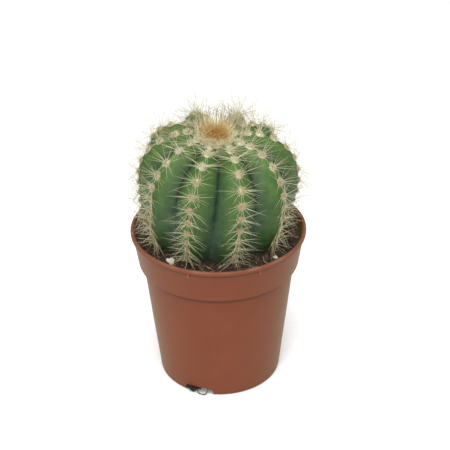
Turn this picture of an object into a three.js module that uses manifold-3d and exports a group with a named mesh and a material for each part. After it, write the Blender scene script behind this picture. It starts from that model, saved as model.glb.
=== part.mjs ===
import * as THREE from 'three';
import { mergeVertices } from 'three/addons/utils/BufferGeometryUtils.js';
import Module from 'manifold-3d';

const wasm = await Module();
wasm.setup();

// A balloon cactus in a round plastic nursery pot. Millimetres, +Z up, and the origin is the
// middle of the pot's foot. Azimuths run from the front (-Y) towards the right (+X), in degrees.

// Clearance between pieces that touch
const GAP = 0.3;

// Pot
const POT_HEIGHT = 98.8;
const POT_SIDES = 48;
const LIP_RADIUS = 52.5;
const LIP_HEIGHT = 2.5;
const LIP_WIDTH = 2.7;
const LIP_ROUND = 0.5;
const BAND_TOP_RADIUS = 51.3;
const BAND_BOTTOM_RADIUS = 48.3;
const BAND_HEIGHT = 21.8;
const BODY_TOP_RADIUS = 45.5;
const STEP_HEIGHT = 1.5;
const FOOT_RADIUS = 37.1;
const FOOT_ROUND = 1.7;
const FOOT_WIDTH = 5;
const WALL = 1.4;
const FLOOR_HEIGHT = 2.5;
// How far the middle of a quarter round lies in from its square corner, as a share of its radius
const CORNER_SHARE = 0.3;

// Drain notches in the foot
const NOTCH_AZIMUTHS = [-20.6, 99.4, 219.4];
const NOTCH_HALF_WIDTH = 8.8;
const NOTCH_HEIGHT = 5;
const NOTCH_ROUND = 3.5;
const NOTCH_INNER_RADIUS = 28;
const NOTCH_OUTER_RADIUS = 40;

// Soil
const SOIL_LEVEL = 91.5;
const SOIL_BUMP = 0.8;
const SOIL_RINGS = 6;
const SOIL_RING_CROWDING = 0.6;
const BROAD_WAVE = 0.2;
const FINE_WAVE = 0.6;
const PEAT_LUMP_HALF_SIZE = [4, 3.6, 5];
const PEAT_LUMP_CENTRE = [-4.2, 4.2, 34];

// Stem: its own frame starts at soil height and leans forwards and to the right
const STEM_BASE = new THREE.Vector3(-4.6, 5.9, 90);
const STEM_LEAN = new THREE.Vector3(0.101, -0.113, 1);
const STEM_RADIUS = 46.8;
const STEM_MIDDLE = 34.1;
const STEM_UPPER_HEIGHT = 40.2;
const STEM_LOWER_HEIGHT = 50.2;
const UPPER_SQUARENESS = 2.8;
const LOWER_SQUARENESS = 2;
const CROWN_DIP = 4.8;
const CROWN_DIP_RADIUS = 11;
const CROWN_SHIFT = new THREE.Vector3(-3.7, -3, 0);
const CROWN_SHIFT_RADIUS = 14;
const STEM_ROWS = 24;

// Ribs: where each one's crest stands, from the front left round to the left
const RIB_AZIMUTHS = [-20, 16.5, 53.5, 96, 131, 162, 205, 242, 274, 305];
const RIB_SIDES = 6;
const VALLEY_DEPTH = 9;
const VALLEY_STEEPNESS = 0.4;
const VALLEY_FADE = 0.3;
const CREST_SHARPNESS = 0.42;
const CREST_LINE_STEPS = 24;

// Areoles: woolly pads down each crest, wider apart on the shoulder
const AREOLE_START = 14;
const AREOLE_PHASE = 0.54;
const AREOLE_TURN = 0.3;
const AREOLE_GROWTH = 1.4;
const AREOLE_SPACING = 11.4;
const AREOLE_CROWDING = 0.06;
const AREOLE_SOIL_GAP = 3.2;
const PAD_RADIUS = 2.1;
const PAD_CROWDING = 0.16;
const PAD_TOP = 1.5;
const PAD_SKIN_GAP = 0.5;

// Spines: drawn out of the pads as slim points, with one lying down the crest to the next pad
const SPINE_COUNT = 9;
const SPINE_TRIES = 14;
const SPINE_JITTER = 0.5;
const SPINE_RADIUS = 0.4;
const SPINE_SHORTEST = 8;
const SPINE_LONGEST = 16;
const SPINE_LEAST_RISE = 14;
const SPINE_MOST_RISE = 50;
const CROWN_EXTRA_RISE = 12;
const CROWN_EXTRA_REACH = 30;
const YOUNG_SHORTENING = 0.2;
const LINK_HEIGHT = 1.1;
const SPINE_REACH = 55;
const SPINE_CLEARANCE = 0.4;

// Crown tuft
const TUFT_RADIUS = 9;
const TUFT_HEIGHT = 5;
const TUFT_ROOT_SPREAD = 7;
const TUFT_ROOT_HEIGHT = 2;
const TUFT_BRISTLES = 44;
const TUFT_BRISTLE_LENGTH = 10;
const TUFT_LEAN = 42;
const GOLDEN_ANGLE = 137.5;

const SEED = 5;

// Loose grains on the soil: azimuth, distance from the pot's axis, size
const GRAIN_SHAPE = [1, 0.7, 0.6];
const GRAIN_LIFT = 0.15;
const GRAINS = [
  { name: 'perlite_grain_1', azimuth: -44, radius: 40.5, size: 2.8, color: 0xe9e6de },
  { name: 'perlite_grain_2', azimuth: 52, radius: 42, size: 1.5, color: 0xe9e6de },
  { name: 'bark_bit_1', azimuth: -6, radius: 42.5, size: 1.9, color: 0x8a6547 },
  { name: 'bark_bit_2', azimuth: 24, radius: 43.5, size: 1.6, color: 0x8a6547 },
];

// Root that loops out of the front notch
const ROOT_RADIUS = 0.4;
const ROOT_STEPS = 16;

const POT_PLASTIC = { color: 0x8f563f, roughness: 0.5, metalness: 0 };
const PEAT = { color: 0x35281f, roughness: 0.95, metalness: 0 };
const STEM_SKIN = { color: 0x4d7a45, roughness: 0.6, metalness: 0 };
const STRAW = { color: 0xd8cfa6, roughness: 0.8, metalness: 0 };
const GOLDEN_WOOL = { color: 0xb08a4e, roughness: 0.9, metalness: 0 };
const ROOT_SKIN = { color: 0x77786a, roughness: 0.8, metalness: 0 };

const UP = new THREE.Vector3(0, 0, 1);
const stemToWorld = new THREE.Matrix4().compose(
  STEM_BASE,
  new THREE.Quaternion().setFromUnitVectors(UP, STEM_LEAN.clone().normalize()),
  new THREE.Vector3(1, 1, 1),
);

// Repeatable random numbers from 0 to 1
function makeRandom(seed) {
  let state = seed;
  return () => {
    state = (state * 1664525 + 1013904223) % 4294967296;
    return state / 4294967296;
  };
}

// The closed solid of a geometry, with shared vertices merged
function solidOf(geometry) {
  const bare = new THREE.BufferGeometry();
  bare.setAttribute('position', geometry.getAttribute('position'));
  bare.setIndex(geometry.index);
  const merged = mergeVertices(bare, 1e-4);
  return new wasm.Manifold(new wasm.Mesh({
    numProp: 3,
    vertProperties: Float32Array.from(merged.getAttribute('position').array),
    triVerts: Uint32Array.from(merged.index.array),
  }));
}

// The geometry of a solid
function geometryOf(solid) {
  const mesh = solid.getMesh();
  const geometry = new THREE.BufferGeometry();
  geometry.setAttribute('position', new THREE.BufferAttribute(mesh.vertProperties, 3));
  geometry.setIndex(new THREE.BufferAttribute(mesh.triVerts, 1));
  geometry.computeVertexNormals();
  return geometry;
}

// The one body that is left when loose scraps are dropped
function largestBody(solid) {
  const bodies = solid.decompose();
  return bodies.reduce((best, body) => (body.volume() > best.volume() ? body : best));
}

function joined(solids) {
  return solids.reduce((whole, solid) => whole.add(solid));
}

function namedMesh(name, geometry, finish) {
  const mesh = new THREE.Mesh(geometry, new THREE.MeshStandardMaterial(finish));
  mesh.name = name;
  return mesh;
}

// A body turned round the Z axis from its outline of [radius, height] points
function turned(outline, sides) {
  const points = outline.map(([radius, height]) => new THREE.Vector2(radius, height));
  return new THREE.LatheGeometry(points, sides).rotateX(Math.PI / 2);
}

// A point on a level circle, by its azimuth in degrees
function onCircle(azimuth, radius, height) {
  const angle = THREE.MathUtils.degToRad(azimuth);
  return new THREE.Vector3(radius * Math.sin(angle), -radius * Math.cos(angle), height);
}

// Outside of the pot from foot to lip, then its inside back down to the floor
function potOutline() {
  const bandBottom = POT_HEIGHT - BAND_HEIGHT;
  const lipBottom = POT_HEIGHT - LIP_HEIGHT;
  const mouth = LIP_RADIUS - LIP_WIDTH;
  return [
    [0, FLOOR_HEIGHT],
    [FOOT_RADIUS - FOOT_WIDTH, FLOOR_HEIGHT],
    [FOOT_RADIUS - FOOT_WIDTH, 0],
    [FOOT_RADIUS - FOOT_ROUND, 0],
    [FOOT_RADIUS - CORNER_SHARE * FOOT_ROUND, CORNER_SHARE * FOOT_ROUND],
    [FOOT_RADIUS, FOOT_ROUND],
    [BODY_TOP_RADIUS, bandBottom - STEP_HEIGHT],
    [BAND_BOTTOM_RADIUS, bandBottom],
    [BAND_TOP_RADIUS, lipBottom],
    [LIP_RADIUS - LIP_ROUND, lipBottom],
    [LIP_RADIUS, lipBottom + LIP_ROUND],
    [LIP_RADIUS, POT_HEIGHT - LIP_ROUND],
    [LIP_RADIUS - LIP_ROUND, POT_HEIGHT],
    [mouth + LIP_ROUND, POT_HEIGHT],
    [mouth, POT_HEIGHT - LIP_ROUND],
    [BAND_BOTTOM_RADIUS - WALL, bandBottom + WALL],
    [BODY_TOP_RADIUS - WALL, bandBottom - STEP_HEIGHT],
    [insideAtFloor(), FLOOR_HEIGHT + WALL],
    [0, FLOOR_HEIGHT + WALL],
  ];
}

// Radius of the tapered wall's inside where it meets the floor
function insideAtFloor() {
  const bodyHeight = POT_HEIGHT - BAND_HEIGHT - STEP_HEIGHT;
  const share = (FLOOR_HEIGHT + WALL - FOOT_ROUND) / (bodyHeight - FOOT_ROUND);
  return THREE.MathUtils.lerp(FOOT_RADIUS, BODY_TOP_RADIUS, share) - WALL;
}

// A rounded arch that runs outwards through the foot at a notch, or the same arch kept clear of it
function archPrism(azimuth, clearance) {
  const side = NOTCH_HALF_WIDTH - clearance;
  const top = NOTCH_HEIGHT - clearance;
  const arch = new THREE.Shape();
  arch.moveTo(-side, -1);
  arch.lineTo(side, -1);
  arch.absarc(side - NOTCH_ROUND, top - NOTCH_ROUND, NOTCH_ROUND, 0, Math.PI / 2);
  arch.absarc(NOTCH_ROUND - side, top - NOTCH_ROUND, NOTCH_ROUND, Math.PI / 2, Math.PI);
  const inner = NOTCH_INNER_RADIUS + clearance;
  const depth = NOTCH_OUTER_RADIUS - inner;
  const prism = new THREE.ExtrudeGeometry(arch, { depth, bevelEnabled: false, curveSegments: 4 });
  return prism.applyMatrix4(notchFrame(azimuth, inner));
}

// X runs along the foot, Y up and Z outwards
function notchFrame(azimuth, radius) {
  const outwards = onCircle(azimuth, 1, 0);
  const along = new THREE.Vector3().crossVectors(UP, outwards);
  return new THREE.Matrix4().makeBasis(along, UP, outwards).setPosition(outwards.multiplyScalar(radius));
}

function makePot() {
  let pot = solidOf(turned(potOutline(), POT_SIDES));
  for (const azimuth of NOTCH_AZIMUTHS) {
    pot = pot.subtract(solidOf(archPrism(azimuth, 0)));
  }
  return namedMesh('pot', geometryOf(pot), POT_PLASTIC);
}

// Height of the peat's uneven top
function soilHeight(x, y) {
  const broad = Math.sin(BROAD_WAVE * x + 1) * Math.cos(BROAD_WAVE * y);
  const fine = Math.sin(FINE_WAVE * (x - y)) * Math.cos(FINE_WAVE * (x + y));
  return SOIL_LEVEL + 0.5 * SOIL_BUMP * (broad + fine);
}

// Peat that fills the pot up to its uneven top
function soilFill() {
  const bandBottom = POT_HEIGHT - BAND_HEIGHT;
  const wallInside = new THREE.Vector2(LIP_RADIUS - LIP_WIDTH, POT_HEIGHT - LIP_ROUND);
  const bandInside = new THREE.Vector2(BAND_BOTTOM_RADIUS - WALL, bandBottom + WALL);
  const share = (SOIL_LEVEL - bandInside.y) / (wallInside.y - bandInside.y);
  const topRadius = THREE.MathUtils.lerp(bandInside.x, wallInside.x, share) - GAP;
  const outline = [
    [0, FLOOR_HEIGHT + WALL + GAP],
    [insideAtFloor() - GAP, FLOOR_HEIGHT + WALL + GAP],
    [BODY_TOP_RADIUS - WALL - GAP, bandBottom - STEP_HEIGHT],
    [bandInside.x - GAP, bandInside.y],
  ];
  for (let ring = 0; ring <= SOIL_RINGS; ring += 1) {
    outline.push([topRadius * (1 - ring / SOIL_RINGS) ** SOIL_RING_CROWDING, SOIL_LEVEL]);
  }
  const fill = turned(outline, POT_SIDES);
  const position = fill.getAttribute('position');
  for (let index = 0; index < position.count; index += 1) {
    if (position.getZ(index) > SOIL_LEVEL - GAP) {
      position.setZ(index, soilHeight(position.getX(index), position.getY(index)));
    }
  }
  return solidOf(fill);
}

// The lump of peat that has worked out of the front drain notch, on its left
function peatLump() {
  const lump = new THREE.SphereGeometry(1, 12, 8);
  lump.scale(...PEAT_LUMP_HALF_SIZE);
  lump.translate(...PEAT_LUMP_CENTRE);
  lump.applyMatrix4(notchFrame(NOTCH_AZIMUTHS[0], 0));
  return solidOf(lump).intersect(solidOf(archPrism(NOTCH_AZIMUTHS[0], GAP)));
}

function makeSoil(grains) {
  const hole = stemGeometry(GAP + 0.2).applyMatrix4(stemToWorld);
  let soil = soilFill().add(peatLump()).subtract(solidOf(hole));
  for (const grain of grains) {
    soil = soil.subtract(solidOf(grainGeometry(grain, GAP)));
  }
  return namedMesh('soil', geometryOf(largestBody(soil)), PEAT);
}

// The line of a rib's crest from the crown to the base, as radius and height
function crestLine() {
  const points = [];
  for (let step = 0; step <= CREST_LINE_STEPS; step += 1) {
    const angle = 0.5 * Math.PI * (step / CREST_LINE_STEPS) ** 2;
    const radius = STEM_RADIUS * Math.sin(angle) ** (2 / UPPER_SQUARENESS);
    const height = STEM_UPPER_HEIGHT * Math.cos(angle) ** (2 / UPPER_SQUARENESS);
    const dip = CROWN_DIP * Math.exp(-((radius / CROWN_DIP_RADIUS) ** 2));
    points.push(new THREE.Vector2(radius, STEM_MIDDLE + height - dip));
  }
  for (let step = 1; step <= CREST_LINE_STEPS; step += 1) {
    const angle = 0.5 * Math.PI * (step / CREST_LINE_STEPS);
    const radius = STEM_RADIUS * Math.cos(angle) ** (2 / LOWER_SQUARENESS);
    const height = STEM_LOWER_HEIGHT * Math.sin(angle) ** (2 / LOWER_SQUARENESS);
    points.push(new THREE.Vector2(radius, STEM_MIDDLE - height));
  }
  const line = new THREE.SplineCurve(points);
  line.arcLengthDivisions = 600;
  return line;
}

const crest = crestLine();
const crestLength = crest.getLength();

// The azimuth at a number of ribs round the stem: 0 is the first rib's crest and 0.5 the next valley
function azimuthAt(ribs) {
  const rib = Math.floor(ribs);
  return THREE.MathUtils.lerp(crestAzimuth(rib), crestAzimuth(rib + 1), ribs - rib);
}

function crestAzimuth(rib) {
  const count = RIB_AZIMUTHS.length;
  return RIB_AZIMUTHS[THREE.MathUtils.euclideanModulo(rib, count)] + 360 * Math.floor(rib / count);
}

// How far the off-centre growing point draws the crown with it, at a point of the crest's line
function crownShift({ x: radius, y: height }) {
  const share = height > STEM_MIDDLE ? Math.exp(-((radius / CROWN_SHIFT_RADIUS) ** 2)) : 0;
  return CROWN_SHIFT.clone().multiplyScalar(share);
}

// A crest's point, its direction down the rib and its outward normal, at a share of its length
function crestAt(share, ribs) {
  const point = crest.getPointAt(share);
  const tangent = crest.getTangentAt(share);
  const azimuth = azimuthAt(ribs);
  return {
    position: onCircle(azimuth, point.x, point.y).add(crownShift(point)),
    along: onCircle(azimuth, tangent.x, tangent.y),
    normal: onCircle(azimuth, -tangent.y, tangent.x),
  };
}

// How far the skin lies inside the crest: nothing on a rib's crest, all of it in the valley
function valleySink(radius, height, ribs) {
  const fromCrest = 1 - Math.abs(2 * THREE.MathUtils.euclideanModulo(ribs, 1) - 1);
  const rounded = 1 - Math.cos(0.5 * Math.PI * fromCrest);
  const shape = THREE.MathUtils.lerp(rounded, fromCrest, CREST_SHARPNESS);
  const below = Math.max(0, (STEM_MIDDLE - height) / STEM_MIDDLE);
  const depth = VALLEY_DEPTH * Math.tanh((VALLEY_STEEPNESS * radius) / VALLEY_DEPTH);
  return depth * Math.max(0, 1 - VALLEY_FADE * below ** 2) * shape;
}

// A point on the ribbed skin, or off it by an offset along the crest's normal
function skinPoint(share, ribs, offset) {
  const { position, normal } = crestAt(share, ribs);
  const { x: radius, y: height } = crest.getPointAt(share);
  return position.addScaledVector(normal, offset - valleySink(radius, height, ribs));
}

// The ribbed globe in the stem's frame, grown outwards all over by an offset
function stemGeometry(offset) {
  const globe = new THREE.SphereGeometry(1, RIB_AZIMUTHS.length * RIB_SIDES, STEM_ROWS);
  const position = globe.getAttribute('position');
  const uv = globe.getAttribute('uv');
  for (let index = 0; index < position.count; index += 1) {
    const share = THREE.MathUtils.clamp(1 - uv.getY(index), 0, 1);
    const ribs = RIB_AZIMUTHS.length * uv.getX(index);
    const point = skinPoint(share, ribs, offset);
    if (share === 0 || share === 1) {
      const pole = crestAt(share, ribs).position;
      point.set(pole.x, pole.y, point.z);
    }
    position.setXYZ(index, point.x, point.y, point.z);
  }
  return globe;
}

function makeStem() {
  return namedMesh('cactus_stem', stemGeometry(0), STEM_SKIN);
}

// Distances down a crest at which a rib carries areoles, down to the soil
function areolePlaces(rib) {
  const places = [];
  let distance = AREOLE_START * AREOLE_GROWTH ** ((AREOLE_PHASE + AREOLE_TURN * rib) % 1);
  while (distance < crestLength) {
    const share = distance / crestLength;
    const place = { share, rib, distance, ...crestAt(share, rib) };
    const inWorld = place.position.clone().applyMatrix4(stemToWorld);
    if (inWorld.z < soilHeight(inWorld.x, inWorld.y) + AREOLE_SOIL_GAP) {
      break;
    }
    places.push(place);
    const shoulder = AREOLE_SPACING - AREOLE_CROWDING * distance;
    distance += Math.min(shoulder, (AREOLE_GROWTH - 1) * distance);
  }
  return places;
}

// Where a pad's middle stands, off the skin
function knotOf({ position, normal }) {
  return position.clone().addScaledVector(normal, LINK_HEIGHT);
}

// Everything that spines keep clear of: lines with a radius, and the row and areole they belong to.
// The spine from one pad to the next belongs to both, half way between.
const obstacles = [];

function addObstacle(row, areole, start, end, radius) {
  obstacles.push({ row, areole, line: new THREE.Line3(start.clone(), end.clone()), radius });
}

// Whether a spine keeps clear of the others, the soil and the pot
function standsClear(row, areole, root, tip) {
  const samples = 16;
  const nearest = new THREE.Vector3();
  const others = obstacles.filter((other) => other.row !== row || Math.abs(other.areole - areole) > 0.5);
  for (let sample = 0; sample <= samples; sample += 1) {
    const point = root.clone().lerp(tip, sample / samples);
    for (const other of others) {
      other.line.closestPointToPoint(point, true, nearest);
      if (nearest.distanceTo(point) < SPINE_RADIUS + other.radius + SPINE_CLEARANCE) {
        return false;
      }
    }
    const inWorld = point.applyMatrix4(stemToWorld);
    const margin = SPINE_RADIUS + GAP;
    if (inWorld.z < soilHeight(inWorld.x, inWorld.y) + 2 * margin) {
      return false;
    }
    const overLip = Math.hypot(inWorld.x, inWorld.y) > LIP_RADIUS - LIP_WIDTH - margin;
    if (overLip && inWorld.z < POT_HEIGHT + margin) {
      return false;
    }
  }
  return true;
}

// A spine's tip, drawn back in small steps until it lies within the plant's reach
function tipWithinReach(root, direction, length) {
  let reach = length;
  let tip;
  do {
    tip = root.clone().addScaledVector(direction, reach);
    reach -= 0.25;
  } while (fromPotAxis(tip) > SPINE_REACH && reach > PAD_RADIUS);
  return tip;
}

function fromPotAxis(point) {
  const inWorld = point.clone().applyMatrix4(stemToWorld);
  return Math.hypot(inWorld.x, inWorld.y);
}

// A direction at an areole: turned round it from down the rib, then raised from the skin, in degrees
function raised({ along, normal }, turn, rise) {
  const side = new THREE.Vector3().crossVectors(normal, along);
  const turnAngle = THREE.MathUtils.degToRad(turn);
  const riseAngle = THREE.MathUtils.degToRad(rise);
  return new THREE.Vector3()
    .addScaledVector(along, Math.cos(turnAngle) * Math.cos(riseAngle))
    .addScaledVector(side, Math.sin(turnAngle) * Math.cos(riseAngle))
    .addScaledVector(normal, Math.sin(riseAngle));
}

// The tip of each spine of one areole, or nothing where no try stood clear
function spineTips(row, index, areole, random) {
  const root = knotOf(areole);
  const nearCrown = Math.max(0, 1 - areole.distance / CROWN_EXTRA_REACH);
  const tips = [];
  for (let spine = 0; spine < SPINE_COUNT; spine += 1) {
    for (let attempt = 0; attempt < SPINE_TRIES && !tips[spine]; attempt += 1) {
      const turn = (360 / SPINE_COUNT) * (spine + SPINE_JITTER * (random() - 0.5));
      const rise = THREE.MathUtils.lerp(SPINE_LEAST_RISE, SPINE_MOST_RISE, random());
      const grown = THREE.MathUtils.lerp(SPINE_SHORTEST, SPINE_LONGEST, random());
      const length = grown * (1 - YOUNG_SHORTENING * nearCrown);
      const direction = raised(areole, turn, rise + CROWN_EXTRA_RISE * nearCrown);
      const tip = tipWithinReach(root, direction, length);
      if (standsClear(row, index, root, tip)) {
        addObstacle(row, index, root, tip, SPINE_RADIUS);
        tips[spine] = tip;
      }
    }
  }
  return tips;
}

// One areole: a woolly pad over the crest, drawn out into its spines
function areoleGeometry(areole, tips) {
  const columns = 2 * SPINE_COUNT;
  const star = new THREE.SphereGeometry(1, columns, 2);
  const position = star.getAttribute('position');
  const uv = star.getAttribute('uv');
  for (let index = 0; index < position.count; index += 1) {
    const column = Math.round(uv.getX(index) * columns) % columns;
    let point = padEdge(areole, (360 / columns) * column);
    if (uv.getY(index) > 0.75) {
      point = skinPoint(areole.share, areole.rib, PAD_TOP);
    } else if (uv.getY(index) < 0.25) {
      point = skinPoint(areole.share, areole.rib, PAD_SKIN_GAP);
    } else if (column % 2 === 0 && tips[column / 2]) {
      point = tips[column / 2];
    }
    position.setXYZ(index, point.x, point.y, point.z);
  }
  return star;
}

// A point on a pad's edge, just off the skin, turned round the pad from down the rib
function padEdge({ share, rib, distance }, turn) {
  const radius = Math.min(PAD_RADIUS, PAD_CROWDING * distance);
  const angle = THREE.MathUtils.degToRad(turn);
  const ribPitch = THREE.MathUtils.degToRad(360 / RIB_AZIMUTHS.length) * crest.getPointAt(share).x;
  const across = (radius * Math.sin(angle)) / ribPitch;
  return skinPoint(share + (radius * Math.cos(angle)) / crestLength, rib + across, PAD_SKIN_GAP);
}

// Pads and the spines between them, which other spines keep clear of
function markRow(places, row) {
  places.forEach((areole, index) => {
    const knot = knotOf(areole);
    addObstacle(row, index, knot, knot, PAD_RADIUS);
    if (index > 0) {
      addObstacle(row, index - 0.5, knotOf(places[index - 1]), knot, SPINE_RADIUS);
    }
  });
}

// One rib's row of areoles, each joined to the next by the spine that lies down the crest
function makeRow(places, row, keepOut, random) {
  const stars = places.map((areole, index) => {
    const tips = spineTips(row, index, areole, random);
    if (index < places.length - 1) {
      tips[0] = knotOf(places[index + 1]);
    }
    return solidOf(areoleGeometry(areole, tips));
  });
  const body = largestBody(joined(stars).subtract(keepOut));
  return namedMesh(`areole_row_${String(row + 1).padStart(2, '0')}`, geometryOf(body), STRAW);
}

// A slim three-sided bristle from its root to its tip
function bristleBetween(root, tip) {
  const length = root.distanceTo(tip);
  const bristle = new THREE.ConeGeometry(SPINE_RADIUS, length, 3, 1);
  bristle.translate(0, length / 2, 0);
  const direction = tip.clone().sub(root).normalize();
  bristle.applyQuaternion(new THREE.Quaternion().setFromUnitVectors(new THREE.Vector3(0, 1, 0), direction));
  bristle.translate(root.x, root.y, root.z);
  return solidOf(bristle);
}

// The golden wool and young bristles in the sunken top
function makeCrown(keepOut, random) {
  const pole = crestAt(0, 0).position;
  const wool = new THREE.SphereGeometry(1, 10, 6).rotateX(Math.PI / 2);
  wool.scale(TUFT_RADIUS, TUFT_RADIUS, TUFT_HEIGHT);
  wool.translate(pole.x, pole.y, pole.z);
  const pieces = [solidOf(wool)];
  const centre = pole.clone().addScaledVector(UP, TUFT_ROOT_HEIGHT);
  addObstacle('crown', 0, centre, centre, TUFT_RADIUS);
  for (let bristle = 0; bristle < TUFT_BRISTLES; bristle += 1) {
    const share = Math.sqrt((bristle + 0.5) / TUFT_BRISTLES);
    const azimuth = GOLDEN_ANGLE * bristle;
    const root = onCircle(azimuth, TUFT_ROOT_SPREAD * share, 0).add(centre);
    const lean = THREE.MathUtils.degToRad(TUFT_LEAN * share);
    const length = TUFT_BRISTLE_LENGTH * THREE.MathUtils.lerp(0.75, 1, random());
    const tip = root.clone().add(onCircle(azimuth, length * Math.sin(lean), length * Math.cos(lean)));
    addObstacle('crown', 0, root, tip, SPINE_RADIUS);
    pieces.push(bristleBetween(root, tip));
  }
  const crown = largestBody(joined(pieces).subtract(keepOut));
  return namedMesh('crown_tuft', geometryOf(crown), GOLDEN_WOOL);
}

// A loose grain, turned any way and half sunk in the peat
function grainGeometry({ azimuth, radius, size }, offset) {
  const grain = new THREE.IcosahedronGeometry(1, 0);
  grain.rotateX(azimuth).rotateZ(radius);
  grain.scale(...GRAIN_SHAPE.map((share) => share * size + offset));
  grain.rotateZ(azimuth);
  const centre = onCircle(azimuth, radius, 0);
  grain.translate(centre.x, centre.y, soilHeight(centre.x, centre.y) + GRAIN_LIFT * size);
  return grain;
}

function makeGrain(grain) {
  const finish = { color: grain.color, roughness: 0.95, metalness: 0 };
  return namedMesh(grain.name, geometryOf(solidOf(grainGeometry(grain, 0))), finish);
}

// The thin root that hangs out of the front notch and turns back up to the peat
function makeRoot() {
  const path = new THREE.CatmullRomCurve3([
    new THREE.Vector3(-1.3, 2, 37.3),
    new THREE.Vector3(-0.2, 0.9, 38),
    new THREE.Vector3(1.8, 0.6, 38.3),
    new THREE.Vector3(3.8, 0.8, 38.2),
    new THREE.Vector3(4.9, 1.9, 37.2),
    new THREE.Vector3(4.9, 3.1, 35.8),
    new THREE.Vector3(4.5, 3.9, 34.4),
  ]);
  const section = new THREE.Shape();
  section.absarc(0, 0, ROOT_RADIUS, 0, 2 * Math.PI);
  const options = { steps: ROOT_STEPS, curveSegments: 3, extrudePath: path };
  const root = new THREE.ExtrudeGeometry(section, options);
  root.applyMatrix4(notchFrame(NOTCH_AZIMUTHS[0], 0));
  return namedMesh('root_loop', geometryOf(solidOf(root)), ROOT_SKIN);
}

function makePlant() {
  const plant = new THREE.Group();
  stemToWorld.decompose(plant.position, plant.quaternion, plant.scale);
  const keepOut = solidOf(stemGeometry(GAP));
  const random = makeRandom(SEED);
  const rows = RIB_AZIMUTHS.map((azimuth, rib) => areolePlaces(rib));
  rows.forEach(markRow);
  plant.add(makeStem());
  plant.add(makeCrown(keepOut, random));
  rows.forEach((places, row) => plant.add(makeRow(places, row, keepOut, random)));
  return plant;
}

const pottedCactus = new THREE.Group();
pottedCactus.add(makePot());
pottedCactus.add(makeSoil(GRAINS));
pottedCactus.add(makePlant());
GRAINS.forEach((grain) => pottedCactus.add(makeGrain(grain)));
pottedCactus.add(makeRoot());

export default pottedCactus;
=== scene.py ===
import math

import bmesh
import bpy
import numpy as np
from mathutils import Matrix, Vector, noise


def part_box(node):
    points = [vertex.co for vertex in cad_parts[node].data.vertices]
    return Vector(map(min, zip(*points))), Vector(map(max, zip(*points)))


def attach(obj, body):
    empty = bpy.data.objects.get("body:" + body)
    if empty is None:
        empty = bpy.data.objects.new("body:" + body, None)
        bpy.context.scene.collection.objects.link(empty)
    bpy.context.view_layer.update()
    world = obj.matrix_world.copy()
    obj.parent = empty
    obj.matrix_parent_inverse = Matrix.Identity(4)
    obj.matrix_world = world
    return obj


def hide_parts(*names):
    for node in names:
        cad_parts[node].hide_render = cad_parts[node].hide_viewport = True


# A balloon cactus in a terracotta-coloured plastic nursery pot, with its wool, spines and peat.
# Sizes are in millimetres and become metres when a mesh is made. The lights and the floor are in
# metres. Azimuths run from the front (-Y) towards the right (+X), in degrees.

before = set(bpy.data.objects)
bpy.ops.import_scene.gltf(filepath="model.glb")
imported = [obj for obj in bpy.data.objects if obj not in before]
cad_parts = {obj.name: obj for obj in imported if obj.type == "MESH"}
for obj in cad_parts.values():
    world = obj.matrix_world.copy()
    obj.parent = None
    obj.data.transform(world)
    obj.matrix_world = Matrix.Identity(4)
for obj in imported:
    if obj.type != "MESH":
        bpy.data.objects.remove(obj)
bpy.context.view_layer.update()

MM = 0.001

# Pot
POT_HEIGHT = 98.8
POT_SIDES = 160
LIP_RADIUS = 52.5
LIP_HEIGHT = 2.5
LIP_WIDTH = 2.0
LIP_BOTTOM = POT_HEIGHT - LIP_HEIGHT
MOUTH_RADIUS = LIP_RADIUS - LIP_WIDTH
BAND_TOP_RADIUS = 51.3
BAND_BOTTOM_RADIUS = 48.3
BAND_HEIGHT = 21.8
BAND_BOTTOM = POT_HEIGHT - BAND_HEIGHT
BODY_TOP_RADIUS = 45.5
STEP_HEIGHT = 1.5
BODY_TOP = BAND_BOTTOM - STEP_HEIGHT
FOOT_RADIUS = 37.1
FOOT_ROUND = 1.7
FOOT_WIDTH = 5
WALL = 1.4
FLOOR_HEIGHT = 2.5
FLOOR_INSIDE = FLOOR_HEIGHT + WALL
FLOOR_MIDDLE_RADIUS = 10

# Lugs under the lip: width, depth and height, and how they sit
LUG_AZIMUTHS = (-20.0, 27.0, 160.0, -153.0)
LUG_SIZE = (0.8, 1.6, 3.6)
LUG_ROUND = 0.3
LUG_TILT = -8
LUG_SINK = 0.1
LUG_DROP = 1.3

# Dust and a painted highlight over the rim, and painted shade in the corners under the lip and the band
DUST_AND_HIGHLIGHT_BOTTOM = POT_HEIGHT - 1.6
DUST_AND_HIGHLIGHT_TOP = POT_HEIGHT - 0.1
LIP_SHADE_MIDDLE = LIP_BOTTOM - 0.9
LIP_SHADE_HALF = 0.6
BAND_SHADE_MIDDLE = BAND_BOTTOM - 2.3
BAND_SHADE_HALF = 2.2
BAND_SHADE_NONE = BAND_BOTTOM - 4.4
BAND_SHADE_FULL = BAND_BOTTOM - 2.2

# Drain notches
NOTCH_AZIMUTHS = (-20.6, 99.4, 219.4)
NOTCH_HALF_WIDTH = 8.8
NOTCH_HEIGHT = 5
NOTCH_BELOW = 2
NOTCH_ROUND = 3.5
NOTCH_INNER_RADIUS = 28
NOTCH_OUTER_RADIUS = 40

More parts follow.
